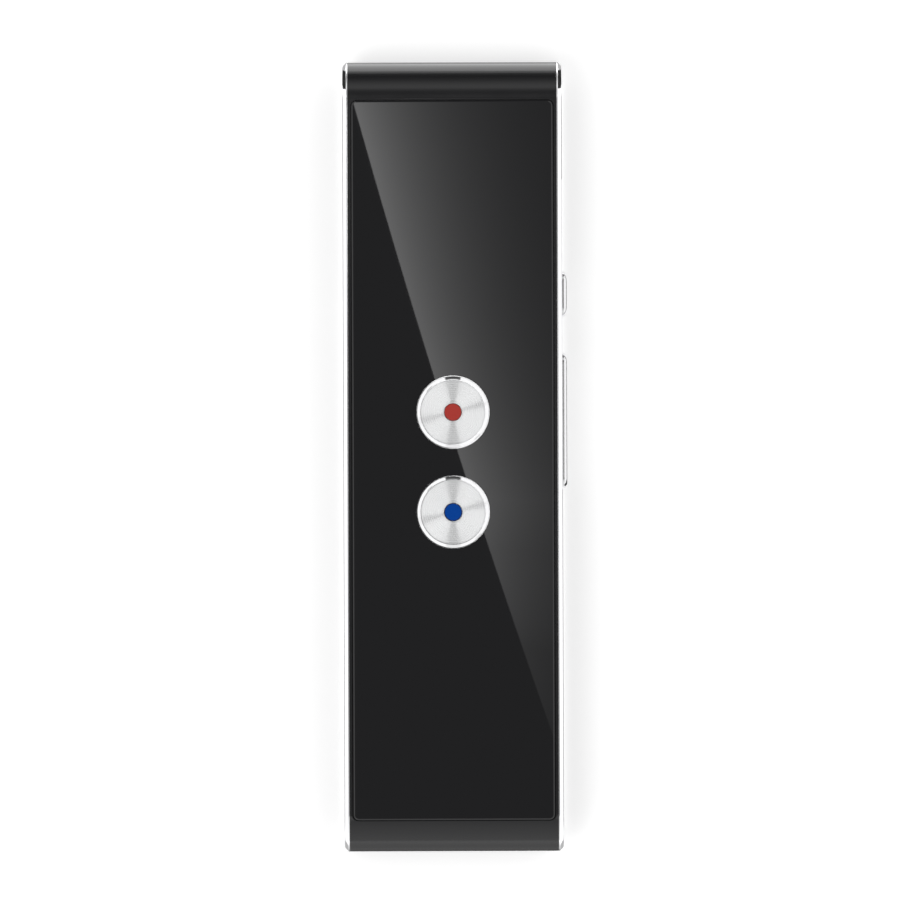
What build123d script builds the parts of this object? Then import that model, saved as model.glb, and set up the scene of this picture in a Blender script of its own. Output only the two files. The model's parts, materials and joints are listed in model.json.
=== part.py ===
from build123d import *
import os
from math import radians

# A handheld voice translator: a long flat bar with fully rounded ends. Two moulded shells are
# closed at the sides by bright rims, each with a black plate set into it. A glossy panel lies in
# the front, with two round push buttons. The right plate carries a power key and a volume rocker,
# the left plate the charging socket, and both have a small slotted grille near the top.
#
# Axes: X across the width (the keys are on +X), Y along the length (the grilles are at the +Y
# end), Z up through the front face. The origin is the middle of the flat back face.
# All sizes are millimetres.

# ---------------------------------------------------------------- case
length = 142.0
width = 39.4                  # over both rims
thickness = 13.4
case_wall = 1.4               # back wall and rounded ends
front_wall = 2.2              # thick enough to hold the panel in a pocket
parting_gap = 0.06            # seam between the shells
lip_height = 0.8              # tongue of the back shell inside the front shell, at both ends
fit = 0.05                    # gap between fixed pieces that locate each other
same_place = 0.001            # edges this close to a plane count as lying in it

# ---------------------------------------------------------------- rims and side plates
rim_width = 0.9               # across the case, outside the shells
rim_face = 1.0                # seen from the side
rim_bevel = 0.75
rim_ledge = 0.25              # ledge inside the rim, under the plate
rim_sleeve_length = 1.6       # sleeve of the rim inside the shells
rim_sleeve_wall = 0.8
plate_recess = 0.3            # plate face below the rim's outer face
plate_plug_depth = 1.0        # raised inner side of the plate, inside the rim's sleeve
plate_edge_bevel = 0.15

# ---------------------------------------------------------------- front panel
panel_side_margin = 0.65      # strip of the case beside the panel
panel_top_margin = 7.0        # from the end of the case
panel_bottom_margin = 5.7
panel_thickness = 1.0
panel_corner_radius = 1.0
panel_edge_bevel = 0.18
panel_gap = 0.1               # between the panel's edge and its pocket
adhesive_thickness = 0.1
adhesive_inset = 0.5          # from the panel's edge
adhesive_clearance = 2.4      # around the buttons

# ---------------------------------------------------------------- front push buttons
button_diameter = 12.9
button_from_top = 63.0        # centre of the upper button
button_pitch = 17.95
button_proud = 0.9            # above the front face
button_bevel = 0.75
button_land = 0.1             # flat top of the cap's rim, around the disc
button_gap = 0.12             # running gap in the panel and the front wall
button_travel = 0.4
button_flange = 0.85          # wider than the cap, under the front wall
button_flange_thickness = 0.8
button_stop_gap = 0.1         # flange to front wall at rest
button_stem_radius = 1.4
button_key_width = 1.6        # two lugs keep the cap from turning
button_key_reach = 0.5
key_guide_gap = 0.15          # lug to the ribs beside it
key_guide_size = 0.9
key_guide_height = 1.8
disc_thickness = 0.45
disc_sunk = 0.05
disc_edge_bevel = 0.08
dot_diameter = 3.25
dot_proud = 0.08
dot_edge_bevel = 0.12

# ---------------------------------------------------------------- side keys
key_width = 3.6
key_proud = 0.83              # beyond the rim's outer face
key_bevel = 0.5
key_gap = 0.2                 # to the cut-out in the plate
power_key_length = 8.2
power_key_from_top = 41.8
power_key_travel = 0.3
power_flange = 0.7            # wider than the key, behind the plate
power_flange_thickness = 0.8
power_stem_radius = 1.1
power_stem_length = 0.3
rocker_length = 24.3
rocker_from_top = 64.5
rocker_inner_depth = 1.2      # how far the rocker reaches behind the plate
rocker_tilt = 1.5             # degrees each way
rocker_switch_reach = 9.0     # from the pivot to each switch
trunnion_radius = 0.5
trunnion_length = 0.9
trunnion_fit = 0.05
trunnion_depth = 0.7          # pivot line behind the plate
ear_wall = 0.5
ear_thickness = 0.8
ear_mouth = 0.8               # snap opening of the ear
mark_width = 0.25             # engraved plus and minus
mark_length = 1.5
mark_depth = 0.15
mark_inset = 3.9              # from each end of the rocker

# ---------------------------------------------------------------- side grilles
grille_from_top = 16.2
slot_width = 1.25
slot_pitch = 1.7
middle_slot_length = 8.4
outer_slot_length = 5.3
mesh_thickness = 0.2
mesh_margin = 0.6
mesh_hole = 0.8
mesh_pitch = 1.25

# ---------------------------------------------------------------- circuit board
board_thickness = 1.0
board_left_room = 1.4         # board edge to the left plate
board_right_room = 2.3        # board edge to the right plate, for the keys
board_top_room = 0.8          # board edge to the upper bosses
board_below_button = 7.05     # board edge below the lower button's centre
board_notch_room = 3.5        # upper corners are cut back this far from the plates, for the microphones
board_notch_length = 5.9
board_post_size = 3.6
board_peg_size = 1.6          # pegs through the board, their heads set by heat
board_peg_proud = 0.5
board_post_inset = 3.0        # from the board's right edge, and as far out on the left
board_post_above = 28.0       # left post, above the upper button's centre
board_post_below = 3.05       # right post, below the lower button's centre

# ---------------------------------------------------------------- pins that join the shells
boss_size = 4.4
boss_side_room = 2.0          # to the rim's sleeve
boss_top_inset = 2.7          # from the panel's top edge
boss_bottom_inset = 3.2
boss_gap = 0.1
pin_size = 2.4
pin_length = 3.6

# ---------------------------------------------------------------- switches
front_switch_size = 5.2
front_switch_height = 0.9
front_plunger_radius = 1.2
front_plunger_out = 0.5
front_plunger_in = 0.35
side_switch_length = 4.6
side_switch_depth = 2.2
side_switch_height = 1.6
side_plunger_length = 1.2
side_plunger_height = 1.0
side_plunger_out = 0.45
side_plunger_in = 0.5
switch_bore_gap = 0.05
contact_gap = 0.05            # key to plunger at rest

# ---------------------------------------------------------------- charging socket
socket_from_top = 43.6
socket_length = 7.8
socket_width = 2.5
socket_chamfer = 1.0          # corners on the side that faces the board
socket_depth = 5.4
socket_wall = 0.25
socket_corner = 0.35
socket_gap = 0.2              # to the cut-out in the plate
tongue_length = 3.9
tongue_thickness = 0.6
tongue_recess = 0.9
tongue_offset = 0.25
contact_count = 5
contact_pitch = 0.65
contact_width = 0.35
contact_thickness = 0.1

# ---------------------------------------------------------------- components on the board
processor_size = 10.0
processor_height = 1.1
processor_above = 16.5        # above the upper button's centre
flash_length = 6.0
flash_width = 5.0
flash_height = 0.9
flash_gap = 2.5               # to the processor
crystal_length = 3.2
crystal_width = 2.5
crystal_height = 0.8
crystal_gap = 2.9             # to the processor
shield_length = 16.0
shield_width = 14.0
shield_height = 1.8
shield_wall = 0.2
shield_above = 32.0
antenna_length = 7.0
antenna_width = 2.0
antenna_height = 0.8
antenna_inset = 1.0

# ---------------------------------------------------------------- battery
battery_side_room = 2.2       # to the rims' sleeves
battery_end_room = 1.5        # to the lower bosses
battery_thickness = 6.0
battery_corner = 1.2
battery_tape_thickness = 0.3
battery_tape_margin = 4.0
battery_gap = 1.6             # from the board's lower edge
battery_rib_gap = 0.2
rib_thickness = 0.8
rib_height = 3.0
rib_end_length = 18.0
rib_side_length = 24.0
connector_length = 5.0
connector_width = 3.5
connector_height = 2.0
connector_x = -6.0
connector_inset = 2.2         # from the board's lower edge
lead_radius = 0.35
lead_pitch = 1.6
battery_lead_height = 3.1     # above the cell's back

# ---------------------------------------------------------------- loudspeaker
speaker_length = 18.0
speaker_width = 14.0
speaker_from_top = 20.0
speaker_height = 3.9
speaker_wall = 0.5
magnet_length = 10.0
magnet_width = 8.0
magnet_height = 1.9
diaphragm_thickness = 0.2
gasket_thickness = 0.5
gasket_width = 1.2
speaker_rib_height = 2.4
speaker_lead_height = 4.3
speaker_lead_run = 2.2

# ---------------------------------------------------------------- microphones
microphone_size = 2.8
microphone_length = 1.3
boot_wall = 0.5
boot_back = 0.3
port_radius = 0.7             # round sound hole in the front slot of each grille

# ---------------------------------------------------------------- places worked out from the sizes
half_length = length / 2
half_width = width / 2
mid_z = thickness / 2
shell_end_x = half_width - rim_width
plate_face_x = half_width - plate_recess
plate_inner_x = shell_end_x - plate_plug_depth
rim_ledge_x = shell_end_x + rim_ledge
rim_sleeve_x = shell_end_x - rim_sleeve_length
sleeve_inset = case_wall + fit + rim_sleeve_wall
plug_inset = sleeve_inset + fit
cavity_top_z = thickness - front_wall
pocket_floor_z = thickness - panel_thickness - adhesive_thickness
panel_width = 2 * (shell_end_x - panel_side_margin)
panel_top_y = half_length - panel_top_margin
panel_bottom_y = panel_bottom_margin - half_length
button_radius = button_diameter / 2
red_button_y = half_length - button_from_top
blue_button_y = red_button_y - button_pitch
button_top_z = thickness + button_proud
flange_top_z = cavity_top_z - button_stop_gap
flange_radius = button_radius + button_flange
disc_radius = button_radius - button_bevel - button_land
disc_top_z = button_top_z - disc_sunk
disc_bottom_z = disc_top_z - disc_thickness
board_bottom = mid_z + side_switch_height / 2
board_top_z = board_bottom + board_thickness
board_right_x = plate_inner_x - board_right_room
board_left_x = board_left_room - plate_inner_x
front_plunger_tip_z = board_top_z + front_switch_height + front_plunger_out
power_key_y = half_length - power_key_from_top
rocker_y = half_length - rocker_from_top
key_face_x = half_width + key_proud
power_flange_x = plate_inner_x - button_stop_gap
power_stem_x = power_flange_x - power_flange_thickness - power_stem_length
rocker_inner_x = plate_inner_x - rocker_inner_depth
trunnion_x = plate_inner_x - trunnion_depth
grille_y = half_length - grille_from_top
socket_y = half_length - socket_from_top
socket_height_z = board_bottom - fit - socket_width / 2
boss_x = rim_sleeve_x - boss_side_room - boss_size / 2
boss_top_y = panel_top_y - boss_top_inset
boss_low_y = panel_bottom_y + boss_bottom_inset
board_top_y = boss_top_y - boss_size / 2 - board_top_room
board_low_y = blue_button_y - board_below_button
board_post_x = board_right_x - board_post_inset
battery_bottom_z = case_wall + battery_tape_thickness
battery_width = 2 * (rim_sleeve_x - battery_side_room)
battery_top_y = board_low_y - battery_gap
battery_low_y = boss_low_y + boss_size / 2 + battery_end_room
battery_y = (battery_top_y + battery_low_y) / 2
speaker_y = half_length - speaker_from_top
speaker_bottom_z = case_wall + fit
speaker_top_z = speaker_bottom_z + speaker_height
boss_places = [(x, y) for y in (boss_top_y, boss_low_y) for x in (-boss_x, boss_x)]
board_post_places = [(-board_post_x, red_button_y + board_post_above),
                     (board_post_x, blue_button_y - board_post_below)]


# ---------------------------------------------------------------- shapes used again
def block(x_low, x_high, y_low, y_high, z_low, z_high):
    """A box between two corners."""
    size = Box(x_high - x_low, y_high - y_low, z_high - z_low)
    return Pos((x_low + x_high) / 2, (y_low + y_high) / 2, (z_low + z_high) / 2) * size


def block_on(x, y, z, x_size, y_size, z_size):
    """A box centred at x, y that stands on height z."""
    return Pos(x, y, z + z_size / 2) * Box(x_size, y_size, z_size)


def post(x, y, z_low, z_high, radius):
    """An upright round bar."""
    return Pos(x, y, (z_low + z_high) / 2) * Cylinder(radius, z_high - z_low)


def case_bar(inset, x_low, x_high):
    """The case's side outline, drawn in by inset, as a bar across the case."""
    outline = SlotOverall(length - 2 * inset, thickness - 2 * inset)
    return extrude(Plane.YZ.offset(x_low) * Pos(0, mid_z) * outline, amount=x_high - x_low)


def side_slot(y, z, slot_length, slot_height, x_low, x_high):
    """A round-ended bar across the case, its long way along Y."""
    outline = SlotOverall(slot_length, slot_height)
    return extrude(Plane.YZ.offset(x_low) * Pos(y, z) * outline, amount=x_high - x_low)


def cross_rod(y, z, radius, x_low, x_high):
    """A round bar across the case."""
    return extrude(Plane.YZ.offset(x_low) * Pos(y, z) * Circle(radius), amount=x_high - x_low)


def pillar(x, y, z_low, z_high, size):
    """An upright square bar."""
    return block_on(x, y, z_low, size, size, z_high - z_low)


def outer_edges(solid, x):
    """The edges of a solid that lie in the plane at x."""
    return solid.edges().filter_by_position(Axis.X, x - same_place, x + same_place)


def top_edges(solid, z):
    """The edges of a solid that lie at height z."""
    return solid.edges().filter_by_position(Axis.Z, z - same_place, z + same_place)


def rounded_sheet(x_size, y_low, y_high, corner, z_low, z_high):
    """A flat sheet with rounded corners, centred across the case."""
    outline = RectangleRounded(x_size, y_high - y_low, corner)
    return extrude(Pos(0, (y_low + y_high) / 2, z_low) * outline, amount=z_high - z_low)


def frame_block(y, z_low, z_high, x_size, y_size, wall):
    """A rectangular tube on the case's middle line, its wall inside the given size."""
    height = z_high - z_low
    outer = block_on(0, y, z_low, x_size, y_size, height)
    return outer - block_on(0, y, z_low, x_size - 2 * wall, y_size - 2 * wall, height)


def mirrored(solid):
    """The same piece for the other side of the case."""
    return mirror(solid, about=Plane.YZ)


# ---------------------------------------------------------------- shells
def lip_band(outer_inset, half_x, z_high):
    """The tongue at the case's two ends, half a wall thick."""
    band = case_bar(outer_inset, -half_x, half_x) - case_bar(case_wall, -half_x, half_x)
    straight = half_length - mid_z
    ends = block(-half_x, half_x, straight, half_length, mid_z - lip_height, z_high)
    ends += block(-half_x, half_x, -half_length, -straight, mid_z - lip_height, z_high)
    return band & ends


def back_shell():
    """Rear half of the case, with the pins on their bosses, the board's posts and the ribs."""
    body = case_bar(0, -shell_end_x, shell_end_x) - case_bar(case_wall, -half_width, half_width)
    seam_z = mid_z - parting_gap / 2
    body &= block(-half_width, half_width, -half_length, half_length, 0, seam_z)
    body += lip_band(case_wall / 2 + fit, shell_end_x - fit, mid_z + lip_height)
    floor_z = case_wall - fit
    for x, y in boss_places:
        body += pillar(x, y, floor_z, mid_z - boss_gap, boss_size)
        body += pillar(x, y, floor_z, mid_z - boss_gap + pin_length, pin_size)
    for x, y in board_post_places:
        body += pillar(x, y, floor_z, board_bottom, board_post_size)
        body += pillar(x, y, floor_z, board_top_z + board_peg_proud, board_peg_size)
    rib_width = fit + rib_thickness
    body += frame_block(speaker_y, floor_z, floor_z + speaker_rib_height, speaker_length + 2 * rib_width,
                        speaker_width + 2 * rib_width, rib_thickness)
    return body + battery_ribs(floor_z)


def battery_ribs(floor_z):
    """Low ribs that keep the cell in place: one past its lower end and one along each side."""
    rib_top = floor_z + rib_height
    end_y = battery_low_y - battery_rib_gap
    ribs = block(-rib_end_length / 2, rib_end_length / 2, end_y - rib_thickness, end_y, floor_z, rib_top)
    side_x = battery_width / 2 + battery_rib_gap
    low_y = battery_y - rib_side_length / 2
    high_y = battery_y + rib_side_length / 2
    for low_x in (side_x, -side_x - rib_thickness):
        ribs += block(low_x, low_x + rib_thickness, low_y, high_y, floor_z, rib_top)
    return ribs


def front_shell():
    """Front half of the case: panel pocket, button holes with the ribs for their lugs, and pin sockets."""
    cavity = case_bar(case_wall, -half_width, half_width)
    cavity &= block(-half_width, half_width, -half_length, half_length, 0, cavity_top_z)
    sleeve_room_x = rim_sleeve_x - fit
    cavity += case_bar(case_wall, sleeve_room_x, shell_end_x)
    cavity += case_bar(case_wall, -shell_end_x, -sleeve_room_x)
    body = case_bar(0, -shell_end_x, shell_end_x) - cavity
    seam_z = mid_z + parting_gap / 2
    body &= block(-half_width, half_width, -half_length, half_length, seam_z, thickness)
    body -= lip_band(case_wall / 2, shell_end_x, mid_z + lip_height + fit)
    body -= rounded_sheet(panel_width + 2 * panel_gap, panel_bottom_y - panel_gap, panel_top_y + panel_gap,
                          panel_corner_radius + panel_gap, pocket_floor_z, thickness + front_wall)
    for y in (red_button_y, blue_button_y):
        body += key_guides(y)
        body -= post(0, y, cavity_top_z - fit, thickness, button_radius + button_gap)
    for x, y in boss_places:
        body += pillar(x, y, mid_z + boss_gap, cavity_top_z + fit, boss_size)
        body -= pillar(x, y, mid_z, mid_z + pin_length + fit, pin_size + 2 * fit)
    return body


def key_guides(y):
    """Short ribs under the front wall, on both sides of each lug of a button."""
    near_x = flange_radius + key_guide_gap
    near_y = button_key_width / 2 + key_guide_gap
    low_z = cavity_top_z - key_guide_height
    centre_x = near_x + key_guide_size / 2
    centre_y = near_y + key_guide_size / 2
    ribs = []
    for side in (-1, 1):
        for end in (-1, 1):
            ribs.append(pillar(side * centre_x, y + end * centre_y, low_z, cavity_top_z + fit, key_guide_size))
    return ribs


# ---------------------------------------------------------------- rims and side plates
def right_rim():
    """Bevelled bright rim: a ledge inside it carries the plate, and a sleeve locates it in the shells."""
    rim = case_bar(0, shell_end_x, half_width)
    rim = chamfer(outer_edges(rim, half_width), rim_bevel)
    rim -= case_bar(rim_face, rim_ledge_x, half_width)
    rim += case_bar(case_wall + fit, rim_sleeve_x, shell_end_x)
    return rim - case_bar(sleeve_inset, rim_sleeve_x, half_width)


def blank_plate():
    """Side plate for +X without its openings: a thin face and a plug that fills the rim's sleeve."""
    face = case_bar(rim_face + fit, rim_ledge_x, plate_face_x)
    face = chamfer(outer_edges(face, plate_face_x), plate_edge_bevel)
    return face + case_bar(plug_inset, plate_inner_x, rim_ledge_x)


def grille_slots(x_low, x_high):
    """Three slots, the middle one longer, and the round port in the slot nearest the front."""
    slots = side_slot(grille_y, mid_z, middle_slot_length, slot_width, x_low, x_high)
    for side in (-1, 1):
        slots += side_slot(grille_y, mid_z + side * slot_pitch, outer_slot_length, slot_width, x_low, x_high)
    slots += cross_rod(grille_y, mid_z + slot_pitch, port_radius, x_low, x_high)
    return slots


def right_side_plate():
    """Plate with the cut-outs of the keys, and two snap ears that hold the rocker's pivot."""
    plate = blank_plate()
    plate -= grille_slots(plate_inner_x, half_width)
    plate -= side_slot(power_key_y, mid_z, power_key_length + 2 * key_gap, key_width + 2 * key_gap,
                       plate_inner_x, half_width)
    plate -= side_slot(rocker_y, mid_z, rocker_length + 2 * key_gap, key_width + 2 * key_gap,
                       plate_inner_x, half_width)
    ear_reach = trunnion_radius + trunnion_fit + ear_wall
    bore = trunnion_radius + trunnion_fit
    for side in (-1, 1):
        near_z = mid_z + side * (key_width / 2 + key_gap)
        far_z = near_z + side * ear_thickness
        low_z = min(near_z, far_z)
        high_z = max(near_z, far_z)
        ear = block(trunnion_x - ear_reach, plate_inner_x + fit, rocker_y - ear_reach, rocker_y + ear_reach,
                    low_z, high_z)
        ear -= post(trunnion_x, rocker_y, low_z, high_z, bore)
        ear -= block(trunnion_x - 2 * ear_reach, trunnion_x, rocker_y - ear_mouth / 2,
                     rocker_y + ear_mouth / 2, low_z, high_z)
        plate += ear
    return plate


def left_side_plate():
    """Plate with the grille and the cut-out of the charging socket."""
    plate = mirrored(blank_plate())
    plate -= grille_slots(-half_width, -plate_inner_x)
    plate -= socket_bar(socket_gap, -half_width, -plate_inner_x)
    return plate


def grille_mesh(side):
    """Perforated sheet glued behind a grille, on side +1 (right) or -1 (left)."""
    y_size = middle_slot_length + 2 * mesh_margin
    z_size = 2 * slot_pitch + slot_width + 2 * mesh_margin
    x_near = side * plate_inner_x
    x_far = side * (plate_inner_x - mesh_thickness)
    low_x = min(x_near, x_far)
    high_x = max(x_near, x_far)
    sheet = block(low_x, high_x, grille_y - y_size / 2, grille_y + y_size / 2,
                  mid_z - z_size / 2, mid_z + z_size / 2)
    along = int((y_size - mesh_pitch) / mesh_pitch)
    across = int((z_size - mesh_pitch) / mesh_pitch)
    pattern = GridLocations(mesh_pitch, mesh_pitch, along, across)
    holes = Sketch() + [place * Rectangle(mesh_hole, mesh_hole) for place in pattern]
    return sheet - extrude(Plane.YZ.offset(low_x) * Pos(grille_y, mid_z) * holes, amount=mesh_thickness)


# ---------------------------------------------------------------- front panel
def front_panel():
    """Glossy sheet with two round holes, its upper edge bevelled all round."""
    sheet = rounded_sheet(panel_width, panel_bottom_y, panel_top_y, panel_corner_radius,
                          thickness - panel_thickness, thickness)
    sheet = chamfer(top_edges(sheet, thickness), panel_edge_bevel)
    for y in (red_button_y, blue_button_y):
        sheet -= post(0, y, thickness - panel_thickness, thickness, button_radius + button_gap)
    return sheet


def panel_adhesive():
    """Sticky sheet under the panel, with a window around the buttons."""
    half_x = panel_width / 2 - adhesive_inset
    low_y = panel_bottom_y + adhesive_inset
    high_y = panel_top_y - adhesive_inset
    top_z = pocket_floor_z + adhesive_thickness
    sheet = block(-half_x, half_x, low_y, high_y, pocket_floor_z, top_z)
    reach = button_radius + adhesive_clearance
    return sheet - block(-reach, reach, blue_button_y - reach, red_button_y + reach, pocket_floor_z, top_z)


# ---------------------------------------------------------------- front push buttons
def button_cap(y):
    """Bright cap: bevelled rim, seat for the disc, flange with two lugs, and a stem to the switch."""
    flange_bottom_z = flange_top_z - button_flange_thickness
    cap = post(0, y, flange_bottom_z, button_top_z, button_radius)
    cap = chamfer(top_edges(cap, button_top_z), button_bevel)
    cap += post(0, y, flange_bottom_z, flange_top_z, flange_radius)
    lug_x = flange_radius + button_key_reach
    lug_half = button_key_width / 2
    cap += block(-lug_x, lug_x, y - lug_half, y + lug_half, flange_bottom_z, flange_top_z)
    cap -= post(0, y, disc_bottom_z, button_top_z, disc_radius + fit)
    cap += post(0, y, front_plunger_tip_z + contact_gap, flange_top_z, button_stem_radius)
    return cap


def button_disc(y):
    """Spun metal disc in the cap's seat, with a hole for the coloured dot."""
    disc = post(0, y, disc_bottom_z, disc_top_z, disc_radius)
    disc = chamfer(top_edges(disc, disc_top_z), disc_edge_bevel)
    return disc - post(0, y, disc_bottom_z, disc_top_z, dot_diameter / 2 + fit)


def button_dot(y):
    """Coloured dot in the middle of the disc."""
    dot = post(0, y, disc_bottom_z, disc_top_z + dot_proud, dot_diameter / 2)
    return chamfer(top_edges(dot, disc_top_z + dot_proud), dot_edge_bevel)


def front_switch_body(y):
    """Square push switch on the board, open at the top for its plunger."""
    body = block_on(0, y, board_top_z, front_switch_size, front_switch_size, front_switch_height)
    well_z = board_top_z + front_switch_height - front_plunger_in - button_travel - switch_bore_gap
    return body - post(0, y, well_z, thickness, front_plunger_radius + switch_bore_gap)


def front_switch_plunger(y):
    """Round plunger that moves with the cap above it."""
    low_z = board_top_z + front_switch_height - front_plunger_in
    return post(0, y, low_z, front_plunger_tip_z, front_plunger_radius)


# ---------------------------------------------------------------- side keys
def power_button():
    """Round-ended key with a bevelled face, a flange behind the plate and a stem to its switch."""
    key = side_slot(power_key_y, mid_z, power_key_length, key_width,
                    power_flange_x - power_flange_thickness, key_face_x)
    key = chamfer(outer_edges(key, key_face_x), key_bevel)
    key += side_slot(power_key_y, mid_z, power_key_length + 2 * power_flange, key_width + 2 * power_flange,
                     power_flange_x - power_flange_thickness, power_flange_x)
    key += cross_rod(power_key_y, mid_z, power_stem_radius, power_stem_x, power_flange_x)
    return key


def volume_rocker():
    """Long key that rocks on two trunnions, engraved with a plus and a minus."""
    rocker = side_slot(rocker_y, mid_z, rocker_length, key_width, rocker_inner_x, key_face_x)
    rocker = chamfer(outer_edges(rocker, key_face_x), key_bevel)
    trunnion_z = key_width / 2 + trunnion_length
    rocker += post(trunnion_x, rocker_y, mid_z - trunnion_z, mid_z + trunnion_z, trunnion_radius)
    plus_y = rocker_y + rocker_length / 2 - mark_inset
    minus_y = rocker_y - rocker_length / 2 + mark_inset
    floor_x = key_face_x - mark_depth
    half = mark_length / 2
    line = mark_width / 2
    rocker -= block(floor_x, half_width + width, plus_y - half, plus_y + half, mid_z - line, mid_z + line)
    rocker -= block(floor_x, half_width + width, plus_y - line, plus_y + line, mid_z - half, mid_z + half)
    rocker -= block(floor_x, half_width + width, minus_y - line, minus_y + line, mid_z - half, mid_z + half)
    return rocker


def side_switch_face(tip_x):
    """The front face of a side switch whose plunger's tip is at tip_x."""
    return tip_x - side_plunger_out


def side_switch_body(y, tip_x, travel):
    """Side-pushed switch under the board's edge, open at the front for its plunger."""
    face_x = side_switch_face(tip_x)
    low_z = mid_z - side_switch_height / 2
    body = block(face_x - side_switch_depth, face_x, y - side_switch_length / 2, y + side_switch_length / 2,
                 low_z, board_bottom)
    well_x = face_x - side_plunger_in - travel - switch_bore_gap
    half_y = side_plunger_length / 2 + switch_bore_gap
    half_z = side_plunger_height / 2 + switch_bore_gap
    return body - block(well_x, face_x, y - half_y, y + half_y, mid_z - half_z, mid_z + half_z)


def side_switch_plunger(y, tip_x):
    """Plunger of a side-pushed switch."""
    face_x = side_switch_face(tip_x)
    half_y = side_plunger_length / 2
    half_z = side_plunger_height / 2
    return block(face_x - side_plunger_in, tip_x, y - half_y, y + half_y, mid_z - half_z, mid_z + half_z)


# ---------------------------------------------------------------- charging socket
def socket_outline(grow):
    """Charging socket's outline: straight on the back's side, with slanted corners to the front."""
    half_y = socket_length / 2 + grow
    half_z = socket_width / 2 + grow
    slant = socket_chamfer + grow / 2
    points = [(-half_y, -half_z), (half_y, -half_z), (half_y, half_z - slant), (half_y - slant, half_z),
              (slant - half_y, half_z), (-half_y, half_z - slant)]
    return make_face(Polyline(points, close=True))


def socket_bar(grow, x_low, x_high):
    """The socket's outline as a bar across the case."""
    face = Plane.YZ.offset(x_low) * Pos(socket_y, socket_height_z) * socket_outline(grow)
    return extrude(face, amount=x_high - x_low)


def usb_shell():
    """Metal shell of the charging socket, closed at its inner end."""
    back_x = socket_depth - plate_face_x
    shell = socket_bar(0, -plate_face_x, back_x)
    long_edges = shell.edges().filter_by(Axis.X)
    shell = fillet(long_edges, socket_corner)
    return shell - socket_bar(-socket_wall, -plate_face_x, back_x - socket_wall)


def usb_tongue():
    """Plastic tongue that carries the contacts, with a block at the back of the shell."""
    back_x = socket_depth - plate_face_x - socket_wall
    tongue_z = socket_height_z + tongue_offset
    tongue = block(-plate_face_x + tongue_recess, back_x, socket_y - tongue_length / 2,
                   socket_y + tongue_length / 2, tongue_z - tongue_thickness / 2,
                   tongue_z + tongue_thickness / 2)
    rear = socket_bar(-socket_wall - fit, back_x - tongue_recess, back_x)
    return tongue + rear


def usb_contacts():
    """Row of thin contacts under the tongue."""
    strips = []
    top_z = socket_height_z + tongue_offset - tongue_thickness / 2
    low_x = tongue_recess - plate_face_x + contact_width
    high_x = socket_depth - plate_face_x - socket_wall - tongue_recess
    for index in range(contact_count):
        y = socket_y + (index - (contact_count - 1) / 2) * contact_pitch
        strips.append(block(low_x, high_x, y - contact_width / 2, y + contact_width / 2,
                            top_z - contact_thickness, top_z))
    return Compound([strip.solid() for strip in strips])


# ---------------------------------------------------------------- circuit board and its components
def main_board():
    """Circuit board, cut back at the upper corners for the microphones, with holes for two pegs."""
    board = block(board_left_x, board_right_x, board_low_y, board_top_y, board_bottom, board_top_z)
    notch_y = grille_y - board_notch_length / 2
    notch_x = plate_inner_x - board_notch_room
    for low_x, high_x in ((notch_x, board_right_x), (board_left_x, -notch_x)):
        board -= block(low_x, high_x, notch_y, board_top_y, board_bottom, board_top_z)
    for x, y in board_post_places:
        board -= pillar(x, y, board_bottom, board_top_z, board_peg_size + 2 * fit)
    return board


def processor_chip():
    """Square processor between the upper button and the shield."""
    y = red_button_y + processor_above
    return block_on(0, y, board_top_z, processor_size, processor_size, processor_height)


def flash_chip():
    """Memory beside the processor."""
    x = -(processor_size + flash_length) / 2 - flash_gap
    y = red_button_y + processor_above
    return block_on(x, y, board_top_z, flash_length, flash_width, flash_height)


def clock_crystal():
    """Metal-cased crystal on the processor's other side."""
    x = (processor_size + crystal_length) / 2 + crystal_gap
    y = red_button_y + processor_above
    return block_on(x, y, board_top_z, crystal_length, crystal_width, crystal_height)


def shield_can():
    """Sheet-metal cover over the radio, open towards the board."""
    y = red_button_y + shield_above
    can = block_on(0, y, board_top_z, shield_length, shield_width, shield_height)
    return can - block_on(0, y, board_top_z, shield_length - 2 * shield_wall, shield_width - 2 * shield_wall,
                          shield_height - shield_wall)


def antenna():
    """Ceramic antenna at the board's upper edge."""
    y = board_top_y - antenna_inset - antenna_width / 2
    return block_on(0, y, board_top_z, antenna_length, antenna_width, antenna_height)


# ---------------------------------------------------------------- battery
def battery_cell():
    """Flat pouch cell with rounded long edges."""
    cell = block(-battery_width / 2, battery_width / 2, battery_low_y, battery_top_y,
                 battery_bottom_z, battery_bottom_z + battery_thickness)
    return fillet(cell.edges().filter_by(Axis.Y), battery_corner)


def battery_tape():
    """Double-sided tape between the cell and the back wall."""
    x = battery_width / 2 - battery_tape_margin
    return block(-x, x, battery_low_y + battery_tape_margin, battery_top_y - battery_tape_margin,
                 case_wall, battery_bottom_z)


def battery_connector():
    """Two-way connector under the board."""
    low_y = board_low_y + connector_inset
    return block(connector_x - connector_length / 2, connector_x + connector_length / 2, low_y,
                 low_y + connector_width, board_bottom - connector_height, board_bottom)


def battery_leads():
    """Two leads from the cell's upper end to the connector."""
    leads = []
    end_y = board_low_y + connector_inset
    cell_z = battery_bottom_z + battery_lead_height
    plug_z = board_bottom - connector_height / 2
    run = (end_y - battery_top_y) / 3
    for side in (-1, 1):
        x = connector_x + side * lead_pitch / 2
        points = [(x, battery_top_y, cell_z), (x, battery_top_y + run, cell_z),
                  (x, end_y - run, plug_z), (x, end_y, plug_z)]
        leads.append(lead(points))
    return Compound(leads)


def lead(points):
    """A thin insulated wire of straight runs, its section a hexagon."""
    path = Polyline(*points)
    start = Plane(path @ 0, z_dir=path % 0)
    return sweep(start * RegularPolygon(lead_radius, 6), path=path, transition=Transition.RIGHT).solid()


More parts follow.
